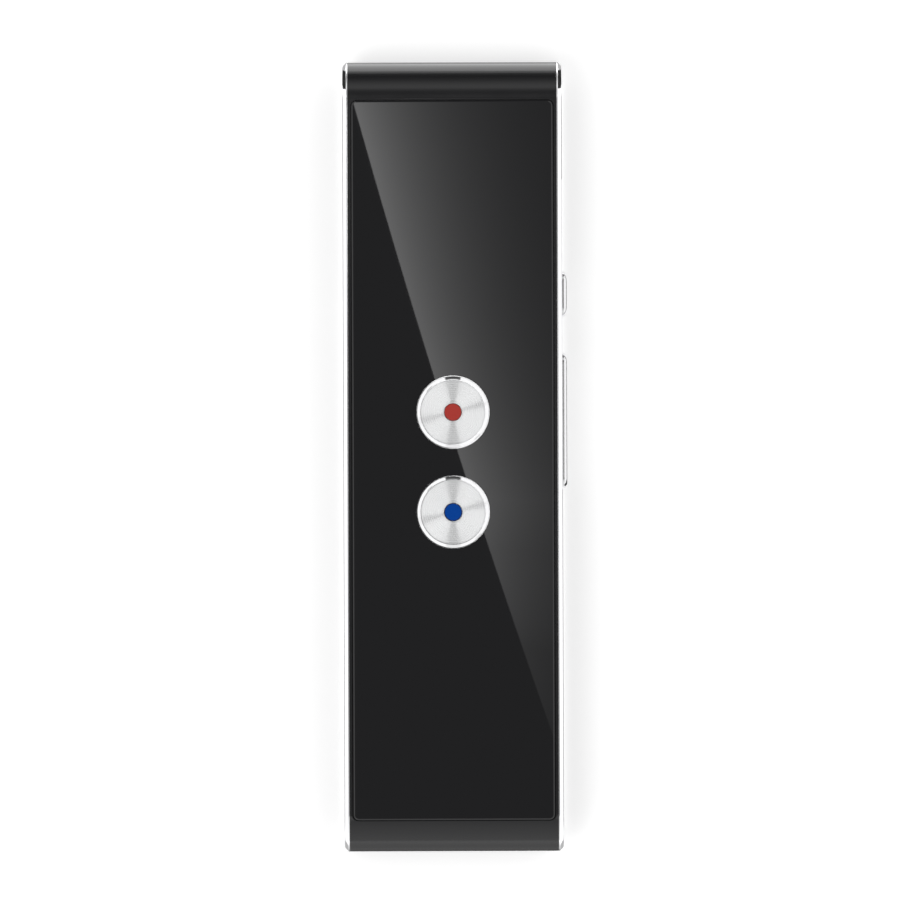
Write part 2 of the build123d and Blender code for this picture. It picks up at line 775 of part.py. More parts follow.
# ---------------------------------------------------------------- loudspeaker
def speaker_basket():
    """Flat rectangular metal cup."""
    cup = block_on(0, speaker_y, speaker_bottom_z, speaker_length, speaker_width, speaker_height)
    hollow = block_on(0, speaker_y, speaker_bottom_z + speaker_wall, speaker_length - 2 * speaker_wall,
                      speaker_width - 2 * speaker_wall, speaker_height)
    return cup - hollow


def speaker_magnet():
    """Magnet on the basket's floor."""
    return block_on(0, speaker_y, speaker_bottom_z + speaker_wall, magnet_length, magnet_width, magnet_height)


def speaker_diaphragm():
    """Thin sheet across the basket's edge, with a raised middle."""
    sheet = block_on(0, speaker_y, speaker_top_z, speaker_length, speaker_width, diaphragm_thickness)
    return sheet + block_on(0, speaker_y, speaker_top_z, magnet_length, magnet_width, 2 * diaphragm_thickness)


def speaker_gasket():
    """Foam frame that seals the speaker's edge."""
    low_z = speaker_top_z + diaphragm_thickness
    top_z = low_z + gasket_thickness
    return frame_block(speaker_y, low_z, top_z, speaker_length, speaker_width, gasket_width)


def speaker_leads():
    """Two leads from the speaker's side up to the board."""
    leads = []
    start_y = speaker_y - speaker_width / 2 - fit - rib_thickness - fit
    turn_y = start_y - speaker_lead_run
    for side in (-1, 1):
        x = side * lead_pitch / 2
        points = [(x, start_y, speaker_lead_height), (x, turn_y, speaker_lead_height),
                  (x, turn_y, board_bottom)]
        leads.append(lead(points))
    return Compound(leads)


# ---------------------------------------------------------------- microphones
def microphone(side):
    """Small capsule behind the port in a grille, on side +1 (right) or -1 (left)."""
    front_x = plate_inner_x - mesh_thickness - 2 * fit
    x = side * (front_x - microphone_length / 2)
    z = mid_z + slot_pitch
    return Pos(x, grille_y, z) * Box(microphone_length, microphone_size, microphone_size)


def microphone_boot(side):
    """Rubber boot around a microphone, closed at the back."""
    front_x = plate_inner_x - mesh_thickness - fit
    hollow_length = microphone_length + fit
    boot_length = hollow_length + boot_back
    boot_size = microphone_size + 2 * boot_wall
    z = mid_z + slot_pitch
    boot = Pos(side * (front_x - boot_length / 2), grille_y, z) * Box(boot_length, boot_size, boot_size)
    hollow = Box(hollow_length, microphone_size, microphone_size)
    return boot - Pos(side * (front_x - hollow_length / 2), grille_y, z) * hollow


# ---------------------------------------------------------------- all pieces by name
def build_pieces():
    """Every piece of the device, by the name of its file."""
    power_tip_x = power_stem_x - contact_gap
    rocker_tip_x = rocker_inner_x - contact_gap
    up_y = rocker_y + rocker_switch_reach
    down_y = rocker_y - rocker_switch_reach
    rocker_travel = rocker_switch_reach * radians(rocker_tilt)
    pieces = {
        "front_shell": front_shell(),
        "back_shell": back_shell(),
        "right_rim": right_rim(),
        "left_rim": mirrored(right_rim()),
        "right_side_plate": right_side_plate(),
        "left_side_plate": left_side_plate(),
        "right_grille_mesh": grille_mesh(1),
        "left_grille_mesh": grille_mesh(-1),
        "front_panel": front_panel(),
        "panel_adhesive": panel_adhesive(),
        "power_button": power_button(),
        "power_switch_body": side_switch_body(power_key_y, power_tip_x, power_key_travel),
        "power_switch_plunger": side_switch_plunger(power_key_y, power_tip_x),
        "volume_rocker": volume_rocker(),
        "volume_up_switch_body": side_switch_body(up_y, rocker_tip_x, rocker_travel),
        "volume_up_plunger": side_switch_plunger(up_y, rocker_tip_x),
        "volume_down_switch_body": side_switch_body(down_y, rocker_tip_x, rocker_travel),
        "volume_down_plunger": side_switch_plunger(down_y, rocker_tip_x),
        "usb_shell": usb_shell(),
        "usb_tongue": usb_tongue(),
        "usb_contacts": usb_contacts(),
        "main_board": main_board(),
        "processor_chip": processor_chip(),
        "flash_chip": flash_chip(),
        "clock_crystal": clock_crystal(),
        "shield_can": shield_can(),
        "antenna": antenna(),
        "battery_cell": battery_cell(),
        "battery_tape": battery_tape(),
        "battery_connector": battery_connector(),
        "battery_leads": battery_leads(),
        "speaker_basket": speaker_basket(),
        "speaker_magnet": speaker_magnet(),
        "speaker_diaphragm": speaker_diaphragm(),
        "speaker_gasket": speaker_gasket(),
        "speaker_leads": speaker_leads(),
    }
    for colour, y in (("red", red_button_y), ("blue", blue_button_y)):
        pieces[colour + "_button_cap"] = button_cap(y)
        pieces[colour + "_button_disc"] = button_disc(y)
        pieces[colour + "_button_dot"] = button_dot(y)
        pieces[colour + "_switch_body"] = front_switch_body(y)
        pieces[colour + "_switch_plunger"] = front_switch_plunger(y)
    for name, side in (("right", 1), ("left", -1)):
        pieces[name + "_microphone"] = microphone(side)
        pieces[name + "_microphone_boot"] = microphone_boot(side)
    return pieces


os.makedirs("parts", exist_ok=True)
for node, piece in build_pieces().items():
    export_step(piece, os.path.join("parts", node + ".step"))
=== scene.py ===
import bmesh
import bpy
import json
from math import acos, atan2, cos, degrees, pi, radians, sin, sqrt, tan
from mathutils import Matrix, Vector
from mathutils.geometry import tessellate_polygon


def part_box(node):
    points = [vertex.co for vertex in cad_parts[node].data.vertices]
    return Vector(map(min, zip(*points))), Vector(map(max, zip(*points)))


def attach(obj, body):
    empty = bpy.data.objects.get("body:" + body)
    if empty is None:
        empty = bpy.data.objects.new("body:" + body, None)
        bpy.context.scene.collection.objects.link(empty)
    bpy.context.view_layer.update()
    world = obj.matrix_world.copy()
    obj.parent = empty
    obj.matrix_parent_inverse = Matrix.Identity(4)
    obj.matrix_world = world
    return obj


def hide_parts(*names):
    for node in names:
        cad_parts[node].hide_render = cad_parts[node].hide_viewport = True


# The looks of a handheld voice translator that lies on its back on a white table, seen from above.
# Every length below is in millimetres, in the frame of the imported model: X across, Y along, Z up.

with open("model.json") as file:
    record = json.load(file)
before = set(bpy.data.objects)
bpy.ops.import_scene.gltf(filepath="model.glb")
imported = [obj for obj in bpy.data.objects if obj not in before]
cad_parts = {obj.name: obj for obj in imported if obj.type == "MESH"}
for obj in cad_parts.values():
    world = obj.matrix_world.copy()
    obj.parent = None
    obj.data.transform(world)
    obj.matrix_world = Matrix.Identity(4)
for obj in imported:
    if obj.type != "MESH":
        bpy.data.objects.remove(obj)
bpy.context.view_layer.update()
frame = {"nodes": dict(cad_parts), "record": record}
scene = bpy.context.scene
MM = 0.001


def corners(node):
    """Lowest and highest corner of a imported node, in millimetres."""
    low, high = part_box(node)
    return low / MM, high / MM


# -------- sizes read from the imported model
shell_low, shell_high = corners("front_shell")
case_radius = shell_high.z / 2          # the ends are half circles in the side view
mid_z = case_radius
arc_y = shell_high.y - case_radius      # where the straight stretch ends
shell_end_x = shell_high.x
rim_low, rim_high = corners("right_rim")
plate_low, plate_high = corners("right_side_plate")
plate_edge_inset = case_radius - (plate_high.z - plate_low.z) / 2
panel_low, panel_high = corners("front_panel")
mesh_low, mesh_high = corners("right_grille_mesh")
grille_y = (mesh_low.y + mesh_high.y) / 2
key_low, key_high = corners("power_button")
rocker_low, rocker_high = corners("volume_rocker")
socket_low, socket_high = corners("usb_shell")
socket_y = (socket_high.y + socket_low.y) / 2
tongue_low, tongue_high = corners("usb_tongue")
contacts_low, contacts_high = corners("usb_contacts")
button_y = {}
for colour in ("red", "blue"):
    disc_low, disc_high = corners(colour + "_button_disc")
    button_y[colour] = (disc_low.y + disc_high.y) / 2

# -------- sizes of the visible forms
back_wall = 1.4
front_wall = 2.2
edge_soft = 0.1               # rounding of moulded edges
seam_groove = 0.1             # softened edge of each shell at the seam
seam_half_gap = 0.03
panel_gap = 0.1
panel_corner = 1.0
panel_bevel = 0.3
panel_bevel_height = 0.2
panel_edge_soft, panel_crest_soft = 0.05, 0.08
panel_hole_bevel = 0.04
pocket_depth = 1.1
rim_plate_gap = 0.05
rim_side = 0.2                # straight outer side of the rim, next to the shell
rim_slant = 0.75              # the rim's slanted face, as an inset
rim_soft = 0.12               # rounding between the rim's straight side and its slanted face
rim_crest = 0.5               # rounding of the rim's outermost edge
rim_foot = 0.04               # rounding of the rim's edge at the shell
rim_sleeve_inset = 1.45
rim_inner_inset = 2.25
plate_bevel = 0.15
polished_tilt = 0.1           # the plates' bevelled edges are polished
plate_face_depth = 0.35
plate_plug_inset = 1.25
slot_width = 1.25
slot_pitch = 1.7
middle_slot_length = 8.4
outer_slot_length = 5.3
port_radius = 0.7
port_bore = 0.5
mesh_pitch = 0.5
mesh_hole = 0.17
mesh_thickness = 0.2
cloth_thickness = 0.05        # dust cloth behind the mesh
port_floor = 0.15
port_steps = 40
port_z = mid_z + slot_pitch
key_width = 3.6
key_bevel = 0.5
key_bulge = 0.045
key_gap = 0.2
power_flange = 0.7
power_flange_depth = 0.8
power_flange_gap = 0.1
power_low = key_low.y + power_flange
power_high = key_high.y - power_flange
mark_width = 0.25
mark_length = 1.6
mark_depth = 0.15
mark_inset = 3.9
mark_round = 0.9              # rounding of the marks' ends, as a share of half their width
flat_normal = 0.999
icon_radius = 0.72
icon_line = 0.1
icon_starts, icon_turn = (15, 195), 150             # two arcs, in degrees
icon_steps, icon_sides = 24, 10
cap_radius = 6.45
cap_flange_thickness = 0.8
cap_bevel_radial = 0.6
cap_bevel_height = 0.344
cap_shoulder = 0.16
cap_bevel_slope = 36
cap_bulge = 0.015
cap_stem_radius = 1.4
cap_stem_gap = 0.05           # over the switch's plunger
disc_grow = 0.2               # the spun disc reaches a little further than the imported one
disc_gap = 0.05
disc_edge = 0.08              # chamfer of the outer edge; the inner edge's is as wide as dot_gap
seat_edge_width, seat_edge_height = 0.02, 0.03
button_gap = 0.12
groove_pitch = 0.36
groove_slope = 0.27
groove_margin_outside, groove_margin_inside = 0.2, 0.1
dot_gap = 0.05
dot_step_width = 0.13         # lowered edge of a coloured dot
dot_step_depth = 0.3
dot_soft = 0.06
socket_wall = 0.25
socket_corner = 0.35
socket_slant = 1.0
socket_gap = 0.2
socket_lip = 0.35             # rounding of the mouth, as a share of the wall
tongue_width = 3.9
tongue_thickness = 0.6
tongue_block = 0.9            # depth of the block that carries the tongue
tongue_soft = 0.12
contact_count = 5
contact_pitch = 0.65
contact_width = 0.35

round_steps = 160             # straight pieces that stand for a full turn
weld_distance = 0.0005


# -------- outlines and profiles
def arc_points(centre, radius, start, turn, steps):
    """Points on an arc, from the start angle through the turn, both ends included."""
    points = []
    for step in range(steps + 1):
        angle = start + turn * step / steps
        points.append((centre[0] + radius * cos(angle), centre[1] + radius * sin(angle)))
    return points


def outline(centres, radius, steps=96):
    """A convex outline, counter-clockwise: one arc of the same radius about each centre."""
    count = len(centres)
    if count == 1:
        return arc_points(centres[0], radius, 0, 2 * pi, steps)[:-1]
    points = []
    for index, centre in enumerate(centres):
        before = centres[index - 1]
        after = centres[(index + 1) % count]
        start = atan2(centre[1] - before[1], centre[0] - before[0]) - pi / 2
        end = atan2(after[1] - centre[1], after[0] - centre[0]) - pi / 2
        turn = (end - start) % (2 * pi)
        arc_steps = max(2, round(steps * turn / (2 * pi)))
        points += arc_points(centre, radius, start, turn, arc_steps)
    return points


def slot(centre_u, centre_v, length, height):
    """A round-ended slot, its long way along u: a function of how far the outline grows."""
    reach = (length - height) / 2
    centres = [(centre_u - reach, centre_v), (centre_u + reach, centre_v)]
    return lambda grow: outline(centres, height / 2 + grow)


def disc(centre_u, centre_v, radius, steps=96):
    """A circle, as a function of how far it grows."""
    return lambda grow: outline([(centre_u, centre_v)], radius + grow, steps)


def rounded_rectangle(low, high, corner):
    """A rectangle with rounded corners, as a function of how far it grows."""
    centres = [(low[0] + corner, low[1] + corner), (high[0] - corner, low[1] + corner),
               (high[0] - corner, high[1] - corner), (low[0] + corner, high[1] - corner)]
    return lambda grow: outline(centres, corner + grow)


def rounded(corner_list, steps=4, closed=True):
    """A profile of straight lines whose corners (a, b, radius) are rounded."""
    points = []
    count = len(corner_list)
    for index, (a, b, radius) in enumerate(corner_list):
        at_end = not closed and index in (0, count - 1)
        if radius == 0 or at_end:
            points.append((a, b))
            continue
        here = Vector((a, b))
        before = Vector(corner_list[index - 1][:2])
        after = Vector(corner_list[(index + 1) % count][:2])
        back = (before - here).normalized()
        ahead = (after - here).normalized()
        half_angle = acos(max(-1, min(1, back.dot(ahead)))) / 2
        reach = radius / tan(half_angle)
        centre = here + (back + ahead).normalized() * (radius / sin(half_angle))
        first = here + back * reach - centre
        last = here + ahead * reach - centre
        turn = pi - 2 * half_angle
        for step in range(steps + 1):
            share = step / steps
            mixed = (first * sin((1 - share) * turn) + last * sin(share * turn)) / sin(turn)
            points.append(tuple(centre + mixed))
    return points


def bowed(start, end, bulge, steps=10):
    """Points of a shallow arc between two points, which swells to the left of the way from start to end."""
    points = []
    chord = Vector(end) - Vector(start)
    side = Vector((-chord.y, chord.x)).normalized()
    for step in range(steps + 1):
        share = step / steps
        height = 4 * bulge * share * (1 - share)
        points.append(tuple(Vector(start) + chord * share + side * height))
    return points


# -------- meshes
def placed(name, data):
    """A new object in the scene, around a mesh, a lamp's data or a camera's data."""
    made = bpy.data.objects.new(name, data)
    scene.collection.objects.link(made)
    return made


def new_object(name, points, faces):
    """A mesh object from points in millimetres."""
    mesh = bpy.data.meshes.new(name)
    mesh.from_pydata([tuple(value * MM for value in point) for point in points], [], faces)
    return placed(name, mesh)


def joined(name, pieces):
    """One object made of several pieces, each with a closed skin of its own."""
    work = bmesh.new()
    for piece in pieces:
        work.from_mesh(piece.data)
        bpy.data.objects.remove(piece)
    mesh = bpy.data.meshes.new(name)
    work.to_mesh(mesh)
    work.free()
    return placed(name, mesh)


def tidy_mesh(piece, sharp_angle=30):
    """Joins doubled points, turns the faces outwards and shades all but the sharp edges smooth.

    Flat caps are the only triangles, so the edge round a cap is sharp and the cap stays a true mirror.
    """
    work = bmesh.new()
    work.from_mesh(piece.data)
    bmesh.ops.remove_doubles(work, verts=work.verts, dist=weld_distance * MM)
    bmesh.ops.recalc_face_normals(work, faces=work.faces)
    for face in work.faces:
        face.smooth = True
    for edge in work.edges:
        cap_edge = len({len(face.verts) == 3 for face in edge.link_faces}) == 2
        edge.smooth = not cap_edge and edge.calc_face_angle(0) < radians(sharp_angle)
    work.to_mesh(piece.data)
    work.free()


def bridge(faces, first, second):
    """Quads between two closed rings of the same length."""
    count = len(first)
    for index in range(count):
        after = (index + 1) % count
        faces.append((first[index], first[after], second[after], second[index]))


def sheet(name, edge, holes, edge_rings, hole_rings, place):
    """A solid sheet with openings. Each ring is (inset from the outline, height), lowest first."""
    points = []
    faces = []
    loops = []
    for shape, rings, sign in [(edge, edge_rings, -1)] + [(hole, hole_rings, 1) for hole in holes]:
        rings_made = []
        for inset, height in rings:
            flat = shape(sign * inset)
            start = len(points)
            points += [place(u, v, height) for u, v in flat]
            rings_made.append((list(range(start, len(points))), flat))
        for lower, upper in zip(rings_made, rings_made[1:]):
            bridge(faces, lower[0], upper[0])
        loops.append(rings_made)
    for end in (0, -1):
        numbers = [number for rings_made in loops for number in rings_made[end][0]]
        flats = [[Vector((u, v, 0)) for u, v in rings_made[end][1]] for rings_made in loops]
        for triangle in tessellate_polygon(flats):
            faces.append(tuple(numbers[corner] for corner in triangle))
    return new_object(name, points, faces)


def level(u, v, height):
    """Puts a sheet's (across, along, up) flat onto the case's front."""
    return u, v, height


def lathe(name, profile, centre_y):
    """A turned piece about the upright line at centre_y. The profile is (radius, height)."""
    points = []
    faces = []
    rings = []
    for radius, height in profile:
        start = len(points)
        if radius == 0:
            points.append((0, centre_y, height))
            rings.append([start] * round_steps)
            continue
        for step in range(round_steps):
            angle = 2 * pi * step / round_steps
            points.append((radius * cos(angle), centre_y + radius * sin(angle), height))
        rings.append(list(range(start, start + round_steps)))
    closed = rings + ([rings[0]] if profile[0][0] > 0 else [])
    for first, second in zip(closed, closed[1:]):
        bridge(faces, first, second)
    faces = [list(dict.fromkeys(face)) for face in faces]
    return new_object(name, points, [face for face in faces if len(face) > 2])


def case_stations(start, end):
    """Places along the case's side outline, from one angle to another: (centre in Y, angle)."""
    stations = []
    cuts = [start] + [quarter for quarter in (90, 270, 450) if start < quarter < end] + [end]
    for low, high in zip(cuts, cuts[1:]):
        middle = (low + high) / 2 % 360
        centre = arc_y if middle < 90 or middle > 270 else -arc_y
        steps = max(2, round(round_steps * (high - low) / 360))
        for step in range(steps + 1):
            stations.append((centre, radians(low + (high - low) * step / steps)))
    return stations


def skinned(name, rings, closed):
    """A skin over rings of points, with an end face at either end unless the rings close on themselves."""
    points = [point for ring in rings for point in ring]
    count = len(rings[0])
    numbers = [list(range(start, start + count)) for start in range(0, len(points), count)]
    faces = []
    for first, second in zip(numbers, numbers[1:] + numbers[:1] if closed else numbers[1:]):
        bridge(faces, first, second)
    if not closed:
        faces += [tuple(numbers[0]), tuple(reversed(numbers[-1]))]
    return new_object(name, points, faces)


def swept(name, profile, stations, closed, end_inset=0, side=1):
    """The closed profile (inset, x) carried along the case's side outline."""
    rings = []
    for index, (centre, angle) in enumerate(stations):
        extra = end_inset if not closed and index in (0, len(stations) - 1) else 0
        ring = []
        for inset, x in profile:
            outside = inset < back_wall / 2
            radius = case_radius - inset - (extra if outside else 0)
            ring.append((side * x, centre + radius * cos(angle), mid_z + radius * sin(angle)))
        rings.append(ring)
    return skinned(name, rings, closed)


def carve(piece, cutter):
    """Cuts the cutter's volume out of the piece and removes the cutter."""
    tidy_mesh(piece)
    tidy_mesh(cutter)
    cut = piece.modifiers.new("cut", "BOOLEAN")
    cut.operation = "DIFFERENCE"
    cut.solver = "EXACT"
    cut.object = cutter
    bpy.context.view_layer.update()
    depsgraph = bpy.context.evaluated_depsgraph_get()
    carved = bpy.data.meshes.new_from_object(piece.evaluated_get(depsgraph))
    piece.modifiers.clear()
    piece.data = carved
    bpy.data.objects.remove(cutter)


def dressed(piece, look, body, nodes, sharp_angle=30):
    """Finishes a piece: shading, material, the body it rides on and the nodes it stands for."""
    tidy_mesh(piece, sharp_angle)
    piece.data.materials.clear()
    piece.data.materials.append(looks[look])
    weighted = piece.modifiers.new("even shading", "WEIGHTED_NORMAL")
    weighted.keep_sharp = True
    weighted.weight = 100
    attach(piece, body)
    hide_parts(*nodes)


# -------- node graphs
class Graph:
    """Short ways to add shader nodes to a tree and join them."""

    def __init__(self, tree):
        self.tree = tree
        tree.nodes.clear()

    def add(self, kind, **settings):
        node = self.tree.nodes.new(kind)
        for name, value in settings.items():
            setattr(node, name, value)
        return node

    def feed(self, socket, value):
        if isinstance(value, bpy.types.NodeSocket):
            self.tree.links.new(value, socket)
        else:
            socket.default_value = value

    def end(self, shader, kind="ShaderNodeOutputMaterial"):
        """Joins the last shader to the tree's output."""
        self.feed(self.add(kind).inputs["Surface"], shader.outputs[0])

    def parts(self, coordinates):
        """The three parts of the shaded point's coordinates of the named kind."""
        split = self.add("ShaderNodeSeparateXYZ")
        self.feed(split.inputs[0], self.add("ShaderNodeTexCoord").outputs[coordinates])
        return split.outputs

    def math(self, operation, first, second=0.0, third=0.0):
        node = self.add("ShaderNodeMath", operation=operation)
        for socket, value in zip(node.inputs, (first, second, third)):
            self.feed(socket, value)
        return node.outputs[0]

    def noise(self, per_mm, detail):
        """Noise with so many patches per millimetre, fixed to the object."""
        noise = self.add("ShaderNodeTexNoise")
        self.feed(noise.inputs["Vector"], self.add("ShaderNodeTexCoord").outputs["Object"])
        noise.inputs["Scale"].default_value = per_mm / MM
        noise.inputs["Detail"].default_value = detail
        return noise.outputs[0]

    def step(self, value, low, high, from_value=0.0, to_value=1.0):
        """A smooth change from one number to another while the value goes from low to high."""
        node = self.add("ShaderNodeMapRange", interpolation_type="SMOOTHSTEP")
        for socket, number in zip(node.inputs, (value, low, high, from_value, to_value)):
            self.feed(socket, number)
        return node.outputs[0]

    def curve(self, value, stops, top):
        """A number from 0 to top that follows the stops (value, number), and is level beyond them."""
        low = stops[0][0]
        high = stops[-1][0]
        ramp = self.add("ShaderNodeValToRGB")
        share = self.math("DIVIDE", self.math("SUBTRACT", value, low), high - low)
        self.feed(ramp.inputs[0], share)
        while len(ramp.color_ramp.elements) < len(stops):
            ramp.color_ramp.elements.new(0.5)
        for element, (place, number) in zip(ramp.color_ramp.elements, stops):
            element.position = (place - low) / (high - low)
            element.color = (number / top, number / top, number / top, 1)
        return self.math("MULTIPLY", ramp.outputs[0], top)


def new_material(name):
    material = bpy.data.materials.new(name)
    material.use_nodes = True
    return material, Graph(material.node_tree)


patches_per_mm = 0.15         # of uneven gloss
grains_per_mm = 20
grain_depth = 0.01
looks = {}                    # materials by name


def surface(name, colour, roughness, metallic=0.0, specular=0.5, grain=0.0,
            patchy=0.08, anisotropic=0.0):
    """A plain surface with a fine moulded or cast grain and slightly uneven gloss."""
    material, graph = new_material(name)
    shader = graph.add("ShaderNodeBsdfPrincipled")
    shader.inputs["Base Color"].default_value = (*colour, 1)
    shader.inputs["Metallic"].default_value = metallic
    shader.inputs["Specular IOR Level"].default_value = specular
    shader.inputs["Anisotropic"].default_value = anisotropic
    patches = graph.noise(patches_per_mm, 3)
    uneven = graph.step(patches, 0.3, 0.7, roughness * (1 - patchy), roughness * (1 + patchy))
    graph.feed(shader.inputs["Roughness"], uneven)
    if grain:
        bump = graph.add("ShaderNodeBump")
        bump.inputs["Strength"].default_value = grain
        bump.inputs["Distance"].default_value = grain_depth * MM
        graph.feed(bump.inputs["Height"], graph.noise(grains_per_mm, 1))
        graph.feed(shader.inputs["Normal"], bump.outputs[0])
    if anisotropic:
        tangent = graph.add("ShaderNodeTangent", direction_type="RADIAL", axis="Z")
        graph.feed(shader.inputs["Tangent"], tangent.outputs[0])
        shader.inputs["Anisotropic Rotation"].default_value = 0.25    # glints run across the turned grooves
    graph.end(shader)
    looks[name] = material


# -------- materials
surface("shell_black", (0.015, 0.015, 0.016), 0.13, grain=0.04)
surface("plate_black", (0.015, 0.015, 0.016), 0.42, specular=0.3, grain=0.2)
surface("polished_black", (0.02, 0.02, 0.021), 0.1, specular=0.8)
surface("panel_gloss", (0.0155, 0.0155, 0.0165), 0.008)
surface("rim_chrome", (0.93, 0.93, 0.94), 0.07, metallic=1, patchy=0.1)
surface("button_chrome", (0.94, 0.94, 0.95), 0.06, metallic=1, patchy=0.1)
surface("spun_metal", (0.9, 0.905, 0.91), 0.3, metallic=0.78, anisotropic=0.98)
surface("dot_red", (0.43, 0.028, 0.018), 0.3, grain=0.1)
surface("dot_blue", (0.0005, 0.055, 0.325), 0.4, specular=0.08, grain=0.1)
# Darker copies of the dots' own colours for their lowered edges: painted shade in the groove round each dot.
surface("dot_red_painted_shade", (0.12, 0.008, 0.008), 0.4)
surface("dot_blue_painted_shade", (0.001, 0.012, 0.07), 0.4)
surface("key_metal", (0.86, 0.86, 0.87), 0.12, metallic=1, grain=0.03)
# The keys' flat faces: rougher satin metal whose base colours are darker than the bevels' as painted shade for the
# darker reflection they show. The volume key's face is a darker painted copy than the power key's.
surface("power_face_painted_shade", (0.71, 0.71, 0.72), 0.28, metallic=1, grain=0.05)
surface("rocker_face_painted_shade", (0.4, 0.4, 0.41), 0.28, metallic=1, grain=0.05)
surface("mark_grey", (0.13, 0.13, 0.135), 0.5)
surface("socket_steel", (0.6, 0.6, 0.61), 0.25, metallic=1, patchy=0.15)
surface("contact_gold", (0.83, 0.6, 0.25), 0.25, metallic=1)
surface("mesh_dark", (0.13, 0.15, 0.15), 0.45, metallic=0.5, grain=0.2)
surface("cloth_grey", (0.035, 0.042, 0.042), 0.8, grain=0.4)
surface("port_black", (0.004, 0.004, 0.004), 0.7)
surface("tongue_black", (0.01, 0.01, 0.01), 0.5)

# Pieces inside the case.
surface("switch_black", (0.03, 0.03, 0.03), 0.45)
surface("plunger_white", (0.78, 0.78, 0.76), 0.4)
surface("board_green", (0.015, 0.11, 0.05), 0.35, patchy=0.1)
surface("chip_black", (0.02, 0.02, 0.02), 0.5, grain=0.2)
surface("shield_steel", (0.68, 0.68, 0.69), 0.3, metallic=1, patchy=0.15)
surface("ceramic_white", (0.76, 0.73, 0.66), 0.5)
surface("cell_silver", (0.55, 0.56, 0.58), 0.35, metallic=1, patchy=0.2)
surface("tape_grey", (0.28, 0.28, 0.28), 0.8)
surface("adhesive_black", (0.02, 0.02, 0.02), 0.8)
surface("connector_white", (0.8, 0.79, 0.74), 0.45)
surface("lead_red", (0.45, 0.03, 0.02), 0.45)
surface("magnet_grey", (0.3, 0.3, 0.31), 0.35, metallic=1)
surface("cone_black", (0.03, 0.03, 0.03), 0.6)
surface("foam_black", (0.025, 0.025, 0.025), 0.9, grain=0.5)
surface("boot_rubber", (0.02, 0.02, 0.02), 0.7)
surface("capsule_metal", (0.6, 0.6, 0.6), 0.3, metallic=1)


def dress_inside():
    """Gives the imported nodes, which show where they stay, materials by the record's slots."""
    for subpart in frame["record"]["subparts"]:
        look = looks.get(subpart["material_slot"])
        if look:
            node = frame["nodes"][subpart["node"]]
            node.data.materials.clear()
            node.data.materials.append(look)


# -------- shells
def shell_profile(wall):
    """Cross-section of a shell: its ends are rounded, and thinner where a rim's sleeve enters."""
    sleeve_x = rim_low.x - edge_soft / 2
    thin = back_wall
    return rounded([(0, shell_end_x, edge_soft), (thin, shell_end_x, 0), (thin, sleeve_x, 0), (wall, sleeve_x, 0),
                    (wall, -sleeve_x, 0), (thin, -sleeve_x, 0), (thin, -shell_end_x, 0),
                    (0, -shell_end_x, edge_soft)])


def shell_stations(start):
    """Half of the case's outline, with a narrow first and last step for the softened seam."""
    gap = degrees(seam_half_gap / case_radius)
    groove = degrees(seam_groove / case_radius)
    low = start + gap
    high = start + 180 - gap
    middle = case_stations(low + groove, high - groove)
    first = (middle[0][0], radians(low))
    last = (middle[-1][0], radians(high))
    return [first] + middle + [last]


def panel_outline():
    return rounded_rectangle((panel_low.x, panel_low.y), (panel_high.x, panel_high.y), panel_corner)


def make_shells():
    back = swept("back_shell_skin", shell_profile(back_wall), shell_stations(180), False, seam_groove)
    dressed(back, "shell_black", "case", ["back_shell"])
    front = swept("front_shell_skin", shell_profile(front_wall), shell_stations(0), False, seam_groove)
    top_z = panel_high.z
    flare = [(-panel_gap, top_z - pocket_depth), (-panel_gap, top_z - edge_soft), (-panel_gap - edge_soft, top_z),
             (-panel_gap - edge_soft, top_z + front_wall)]
    carve(front, sheet("pocket", panel_outline(), [], flare, [], level))
    for centre in button_y.values():
        hole = [(0, top_z - 2 * front_wall), (0, top_z)]
        opening = disc(0, centre, cap_radius + button_gap)
        carve(front, sheet("hole", opening, [], hole, [], level))
    dressed(front, "shell_black", "case", ["front_shell"])


# -------- rims and side plates
def make_rims():
    """Chrome trims round both sides: slanted outwards, with a sleeve inside the shells."""
    face_x = rim_high.x
    ledge_x = plate_high.x - plate_face_depth
    inner = plate_edge_inset - rim_plate_gap
    profile = rounded([(inner, face_x, edge_soft / 2), (inner, ledge_x, 0), (rim_inner_inset, ledge_x, 0),
                       (rim_inner_inset, rim_low.x, 0), (rim_sleeve_inset, rim_low.x, 0),
                       (rim_sleeve_inset, shell_end_x, 0), (0, shell_end_x, rim_foot),
                       (0, shell_end_x + rim_side, rim_soft), (rim_slant, face_x, rim_crest)], steps=6)
    for name, side in (("right_rim", 1), ("left_rim", -1)):
        rim = swept(name + "_trim", profile, case_stations(-90, 270), True, side=side)
        dressed(rim, "rim_chrome", "case", [name], sharp_angle=40)


def side_place(side):
    """Puts a sheet's (along, up, outward) onto the case's right (+1) or left (-1) side."""
    return lambda u, v, height: (side * height, u, v)


def grille_openings():
    """Three slots, the middle one longer."""
    slots = [slot(grille_y, mid_z, middle_slot_length, slot_width)]
    for side in (-1, 1):
        slots.append(slot(grille_y, mid_z + side * slot_pitch, outer_slot_length, slot_width))
    return slots


def socket_shape(grow_by):
    """The charging socket's outline, with slanted corners towards the front."""
    half_y = (socket_high.y - socket_low.y) / 2 - socket_corner
    half_z = (socket_high.z - socket_low.z) / 2 - socket_corner
    slant = socket_slant - socket_corner * (2 - sqrt(2))
    centre_z = (socket_high.z + socket_low.z) / 2
    corner_list = [(-half_y, -half_z), (half_y, -half_z), (half_y, half_z - slant), (half_y - slant, half_z),
                   (slant - half_y, half_z), (-half_y, half_z - slant)]
    centres = [(socket_y + u, centre_z + v) for u, v in corner_list]
    return lambda grow: outline(centres, socket_corner + grow_by + grow)


def key_slot(low, high, grow):
    """The outline of a side key that reaches from low to high along Y."""
    length = high - low + 2 * grow
    return slot((low + high) / 2, mid_z, length, key_width + 2 * grow)


